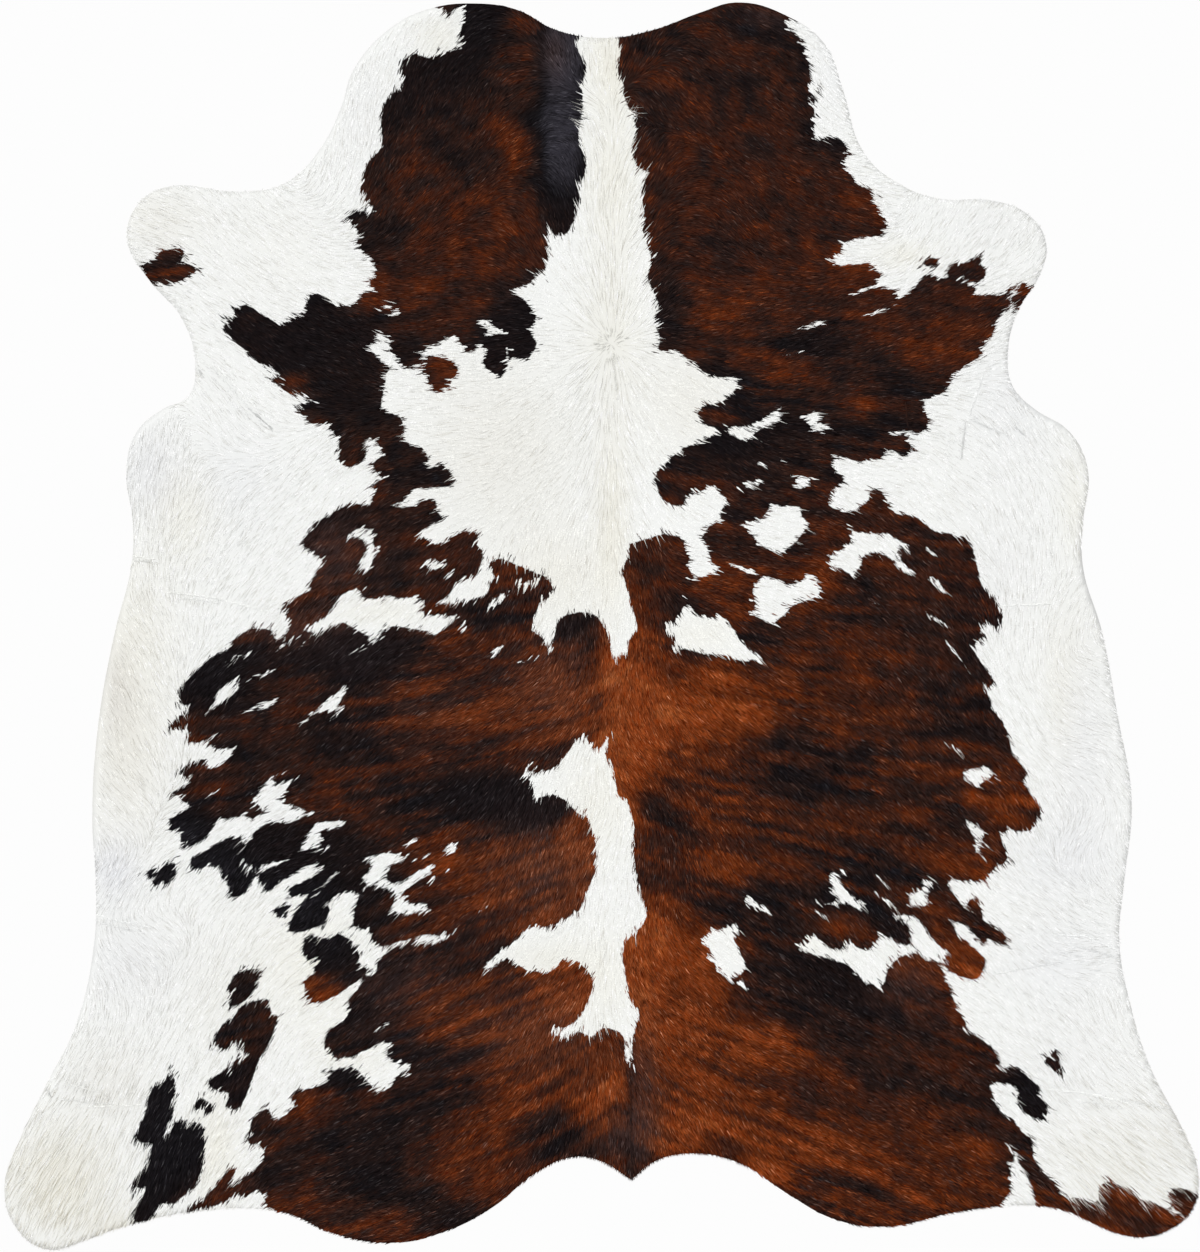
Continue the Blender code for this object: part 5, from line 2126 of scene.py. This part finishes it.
    def _corners(
        self,
        roots: np.ndarray,
        way: np.ndarray,
        length: np.ndarray,
        width: np.ndarray,
        ridge: np.ndarray,
        lift: np.ndarray,
    ) -> np.ndarray:
        """The corners of tufts that lie on the hide's upper face.

        Args:
            roots: (n, 2) places of the roots.
            way: (n, 2) directions of the hair.
            length: their lengths.
            width: their widths.
            ridge: how far each one's sides lie below its ridge.
            lift: how high each tip lies over the face.

        Returns:
            (n, 4, 3) corners: root, sides and tip.
        """
        across = np.stack([-way[:, 1], way[:, 0]], axis=1)
        belly = roots + way * (self.belly * length)[:, None]
        tips = roots + way * length[:, None]
        root_z = self.relief.height(roots) - self.root_depth
        tip_z = self.relief.height(tips) + lift
        belly_z = root_z + self.belly * (tip_z - root_z) - ridge
        corners = np.empty((len(roots), 4, 3))
        corners[:, 0, :2], corners[:, 0, 2] = roots, root_z
        corners[:, 1, :2], corners[:, 1, 2] = belly + across * width[:, None] / 2, belly_z
        corners[:, 2, :2], corners[:, 2, 2] = belly - across * width[:, None] / 2, belly_z
        corners[:, 3, :2], corners[:, 3, 2] = tips, tip_z
        return corners

    def _line_hair(self, rng: np.random.Generator) -> tuple[np.ndarray, np.ndarray]:
        """Hair that lies along the creases and round the whorl, and draws their lines in painted shade, or
        in painted highlight along the ridges.

        Args:
            rng: the source of every chance value.

        Returns:
            (n, 4, 3) corners, and (n, 4, 4) linear colours.
        """
        line = self.line
        roots, angles, lights = [], [], []
        for crease in CREASES:
            start, end = np.array([crease.x0, crease.y0]) * MM, np.array([crease.x1, crease.y1]) * MM
            run = end - start
            count = math.ceil(np.linalg.norm(run) / line.step) if crease.line else 0
            share = rng.uniform(0, 1, count)
            left = np.array([-run[1], run[0]]) / np.linalg.norm(run)
            sideways = rng.normal(0, line.spread, count)
            roots.append(start + share[:, None] * run + sideways[:, None] * left)
            angles.append(math.atan2(run[1], run[0]) + np.radians(rng.normal(0, line.turn_spread, count)))
            taper = 1 - line.end_fade * np.abs(2 * share - 1)
            # Painted shade along the crease's line, or painted highlight where its line is negative.
            lights.append(1 - crease.line * taper * rng.uniform(*line.strength, count))
        turns = rng.uniform(-math.pi, math.pi, line.whorl_hairs)
        heading = np.stack([np.cos(turns), np.sin(turns)], axis=1)
        reach = rng.uniform(0, 1, line.whorl_hairs) ** line.whorl_crowding * line.whorl_reach_mm * MM
        roots.append(np.array(HairFlow.WHORL) + heading * reach[:, None])
        angles.append(turns + np.radians(rng.normal(0, line.whorl_turn_spread, line.whorl_hairs)))
        lights.append(rng.uniform(*line.whorl_light, line.whorl_hairs))
        root, angle, light = np.concatenate(roots), np.concatenate(angles), np.concatenate(lights)
        way = np.stack([np.cos(angle), np.sin(angle)], axis=1)
        count = len(root)
        spans = (line.length_mm, line.width_mm, line.lift_mm)
        length, width, lift = (rng.uniform(*span, count) * MM for span in spans)
        corners = self._corners(root, way, length, width, np.full(count, line.ridge), lift)
        corners[:, :, 2] += line.raised
        is_dark = self.coat.darkness(root) > 0
        plain = np.where(is_dark[:, None], self.coat.dark_colours(root), self.coat.white_colours(root))
        colours = np.clip(plain * light[:, None], 0, line.lightest)
        return corners, with_alpha(np.repeat(colours[:, None, :], 4, axis=1))

    def _fluff(self, places: np.ndarray) -> np.ndarray:
        """How much the hair stands up, most along the neck's spine and then along the lower spine.

        Args:
            places: (n, 2) places.

        Returns:
            One value for each place, about 0 to 1.
        """
        x, y = places.T
        return self.NECK_BAND.share(x, y) + self.LOWER_SHARE * self.LOWER_BAND.share(x, -y)

    def _coarseness(self, places: np.ndarray) -> np.ndarray:
        """How clearly single hairs show in the white coat, most near its outer edge and at the whorl.

        Args:
            places: (n, 2) places.

        Returns:
            One value for each place, from 0 up.
        """
        x, y = places.T
        away = (x - HairFlow.WHORL[0]) ** 2 + (y - HairFlow.WHORL[1]) ** 2
        whorl = np.exp(-(away / self.COARSE_WHORL**2))
        outer = np.clip((np.abs(x) - self.COARSE_FROM) / self.COARSE_OVER, 0, 1)
        parts = (outer, self._fluff(places), self._shag(places), whorl)
        coarse = sum(share * part for share, part in zip(self.COARSE_SHARES, parts))
        return np.clip(coarse, 0, self.COARSEST)

    def _shag(self, places: np.ndarray) -> np.ndarray:
        """How long the hair is: longest over the hind feet.

        Args:
            places: (n, 2) places.

        Returns:
            One value for each place, from 0 to 1.
        """
        x, y = places.T
        return smooth_step(-y, *self.SHAG_DOWN) * smooth_step(np.abs(x), *self.SHAG_ASIDE)

    def _trimmed(self, roots: np.ndarray, way: np.ndarray, length: np.ndarray,
                 rng: np.random.Generator) -> np.ndarray:
        """Lengths cut short where a tuft would lie out past the edge.

        Args:
            roots: (n, 2) places of the roots.
            way: (n, 2) directions of the hair.
            length: the full lengths.
            rng: the source of every chance value.

        Returns:
            The lengths that are left.
        """
        outwards = -np.einsum("ij,ij->i", way, self.edge.inward(roots))
        is_low = (roots[:, 1] < self.low_from) & (outwards > self.least_outwards)
        past = np.where(is_low, self.low_overhang_mm, self.overhang_mm) * MM
        past = past * rng.uniform(*self.overhang_spread, len(roots))
        left = length.copy()
        for _ in range(4):
            over = -self.edge.depth(roots + way * left[:, None]) - past
            left = np.where(over > 0, left - over / np.maximum(outwards, self.least_outwards), left)
        return np.maximum(left, self.shortest)

    def _colours(
        self,
        middle: np.ndarray,
        is_dark: np.ndarray,
        is_shaded: np.ndarray,
        coarse: np.ndarray,
        rng: np.random.Generator,
    ) -> np.ndarray:
        """The colours of each tuft's corners: root, sides and tip.

        Args:
            middle: (n, 2) places where the coat's colours are read.
            is_dark: whether each tuft is dark.
            is_shaded: whether each tuft, where it is white, is painted as lying in its neighbours' shade.
            coarse: how clearly single hairs show.
            rng: the source of every chance value.

        Returns:
            (n, 4, 4) linear colours.
        """
        shades, count = self.shades, len(middle)
        warmth = self.coat.warmth(middle)
        strays = rng.uniform(0, 1, count) < shades.stray_share
        stray = np.where(strays, rng.uniform(*shades.stray, count), 0)
        lively = shades.least_change + (1 - shades.least_change) * self.coat.liveliness(warmth)
        change = (rng.normal(0, shades.warmth_spread, count) + stray) * lively
        # Painted highlights and painted shade on the dark hair: a neutral grey added to or taken from each
        # tuft, with bright glints on a few, stronger lower down the hide and on warm brown.
        glints = rng.uniform(0, 1, count) < shades.glint_share
        glint = np.where(glints, rng.uniform(*shades.glint, count), 0.0)
        shine = rng.normal(0, shades.shine_spread, count) + glint + shades.shine_level
        shine_strength = shades.shine_strength + shades.lower_shine * smooth_step(-middle[:, 1], *shades.lower_range)
        shine_strength = shine_strength + shades.warm_shine * smooth_step(warmth, *shades.warm_range)
        dark = self.coat.dark_colours(middle, change, shine * shine_strength)
        # Painted shade: some dark tufts are darkened as if they lay in their neighbours' shade; the rest are
        # a little lighter.
        is_shadowed = rng.uniform(0, 1, count) < shades.shadowed_share
        dark = dark * np.where(is_shadowed, rng.uniform(*shades.shadowed, count), shades.open_light)[:, None]
        spread = shades.white_spread + shades.coarse_spread * coarse
        light = rng.normal(1.0 + shades.coarse_lift * coarse, spread, count)
        # Painted shade: the white tufts that lie in their neighbours' shade are darker, the more so where
        # single hairs show.
        shaded = rng.uniform(*shades.shaded, count)
        shaded = shaded - shades.coarse_shade * np.minimum(coarse, 1) * rng.uniform(0, 1, count)
        light = np.where(is_shaded, shaded, light)
        # The painted shade of the white tufts is warmer, and the long hair of the hind feet is beige.
        shag = self._shag(middle)
        warm = np.where(is_shaded, 1 + shades.shaded_shag_warmth * shag, shades.shag_warmth * shag)
        white = self.coat.white_colours(middle) * light[:, None] * (1 - warm[:, None] * shades.WARMTH)
        colour = np.where(is_dark[:, None], dark, white)
        steps = np.where(is_dark[:, None], shades.DARK_STEPS, shades.WHITE_STEPS)
        return with_alpha(np.clip(colour[:, None, :] * steps[:, :, None], 0, shades.lightest))

    def _piece(self, name: str, corners: np.ndarray, colours: np.ndarray,
               finish: bpy.types.Material) -> bpy.types.Object:
        """One joined mesh of tufts.

        Args:
            name: the object's name.
            corners: (n, 4, 3) corners.
            colours: (n, 4, 4) colours.
            finish: its material.

        Returns:
            The object, linked to the scene.
        """
        count = len(corners)
        faces = np.array(self.FACES)[None] + 4 * np.arange(count)[:, None, None]
        mesh = bpy.data.meshes.new(name)
        mesh.vertices.add(4 * count)
        mesh.vertices.foreach_set("co", corners.astype(np.float32).ravel())
        mesh.loops.add(faces.size)
        mesh.loops.foreach_set("vertex_index", faces.astype(np.int32).ravel())
        mesh.polygons.add(faces.size // 3)
        mesh.polygons.foreach_set("loop_start", np.arange(0, faces.size, 3, dtype=np.int32))
        mesh.update(calc_edges=True)
        mesh.shade_flat()
        add_values(mesh, "coat_colour", "FLOAT_COLOR", colours)
        flat = corners.reshape(-1, 3)[:, :2]
        low = flat.min(axis=0)
        size = float((flat.max(axis=0) - low).max()) * 1.01
        layer = mesh.uv_layers.new(name="OFBake")
        mapped = (flat[faces.ravel()] - low) / size + 0.004
        layer.data.foreach_set("uv", mapped.astype(np.float32).ravel())
        mesh.materials.append(finish)
        piece = bpy.data.objects.new(name, mesh)
        bpy.context.scene.collection.objects.link(piece)
        return piece


# ---------------------------------------------------------------- the studio


@dataclass
class Studio:
    """A pale floor, soft light from the upper left and a camera straight above."""

    lens: float = 85.0
    sensor: float = 36.0
    view_height: float = 2.2071
    view_offset: float = -0.0026
    look_height: float = 4.5 * MM
    floor_size: float = 40.0
    fill: float = 0.54
    backdrop: float = 0.98
    key: float = 1.83
    key_tilt: float = 27.0
    key_turn: float = 135.0
    key_softness: float = 35.0

    def build(self) -> None:
        """Sets up everything round the rug."""
        self._lay_floor()
        self._hang_key()
        self._fill_room()
        self._hang_camera()
        bpy.context.scene.view_settings.view_transform = "Standard"

    def _lay_floor(self) -> None:
        """A wide plain floor, a hair below the hide."""
        ground = bmesh.new()
        place = Matrix.Translation((0, 0, -0.1 * MM))
        bmesh.ops.create_grid(ground, x_segments=1, y_segments=1, size=self.floor_size / 2, matrix=place)
        mesh = bpy.data.meshes.new("floor")
        ground.to_mesh(mesh)
        ground.free()
        mesh.materials.append(FloorFinish().material())
        floor = bpy.data.objects.new("floor", mesh)
        bpy.context.scene.collection.objects.link(floor)

    def _hang_key(self) -> None:
        """The main light, broad and even over the whole hide."""
        lamp = bpy.data.lights.new("key", "SUN")
        lamp.energy = self.key
        lamp.angle = math.radians(self.key_softness)
        light = bpy.data.objects.new("key", lamp)
        tilt, turn = math.radians(self.key_tilt), math.radians(self.key_turn)
        towards = Vector((math.sin(tilt) * math.cos(turn), math.sin(tilt) * math.sin(turn), math.cos(tilt)))
        light.rotation_mode = "QUATERNION"
        light.rotation_quaternion = towards.to_track_quat("Z", "Y")
        light.location = 3 * towards
        bpy.context.scene.collection.objects.link(light)

    def _fill_room(self) -> None:
        """Even white light from all round, which the camera sees as bright as the floor."""
        world = bpy.data.worlds.new("studio")
        world.use_nodes = True
        nodes, links = world.node_tree.nodes, world.node_tree.links
        background = nodes["Background"]
        background.inputs["Color"].default_value = (1.0, 1.0, 1.0, 1.0)
        ray = nodes.new("ShaderNodeLightPath")
        strength = nodes.new("ShaderNodeMapRange")
        strength.inputs["To Min"].default_value = self.fill
        strength.inputs["To Max"].default_value = self.backdrop
        links.new(ray.outputs["Is Camera Ray"], strength.inputs["Value"])
        links.new(strength.outputs["Result"], background.inputs["Strength"])
        bpy.context.scene.world = world

    def _hang_camera(self) -> None:
        """The camera, straight above, so that its frame spans the view's height at the hair's level."""
        lens = bpy.data.cameras.new("camera")
        lens.lens = self.lens
        lens.sensor_width = self.sensor
        camera = bpy.data.objects.new("camera", lens)
        distance = self.view_height * self.lens / self.sensor
        camera.location = (self.view_offset, 0.0, self.look_height + distance)
        bpy.context.scene.collection.objects.link(camera)
        bpy.context.scene.camera = camera


@dataclass
class CowhideRug:
    """The whole rug: its sheet and its hair."""

    solid: bpy.types.Object
    coat_finish: CoatFinish = CoatFinish()
    skin_finish: SkinFinish = SkinFinish()

    def build(self) -> list[bpy.types.Object]:
        """Builds every piece, hangs it on the hide's body and hides the solid.

        Returns:
            The sheet and the pieces of hair.
        """
        low, high = Vector(cad_box[0]), Vector(cad_box[1])
        edge = CutEdge(self.solid, 2 * MM)
        log.info("cut edge: %d corners", len(edge.outline))
        flow = HairFlow(low, high, HAIR_GUIDES)
        coat = Coat(low, high)
        relief = Relief(edge)
        sheet = HideSheet(edge, relief, flow, coat, self.coat_finish, self.skin_finish).build()
        hair = HairTufts(edge, relief, flow, coat, self.coat_finish).build()
        for piece in [sheet, *hair]:
            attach(piece, BODY)
        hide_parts(SOLID)
        return [sheet, *hair]


def main() -> None:
    """Builds the rug and the studio round it."""
    logging.basicConfig(level=logging.INFO, format="%(name)s: %(message)s")
    pieces = CowhideRug(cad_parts[SOLID]).build()
    for piece in pieces:
        log.info("%s: %d faces", piece.name, len(piece.data.polygons))
    Studio().build()


if __name__ == "__main__":
    main()
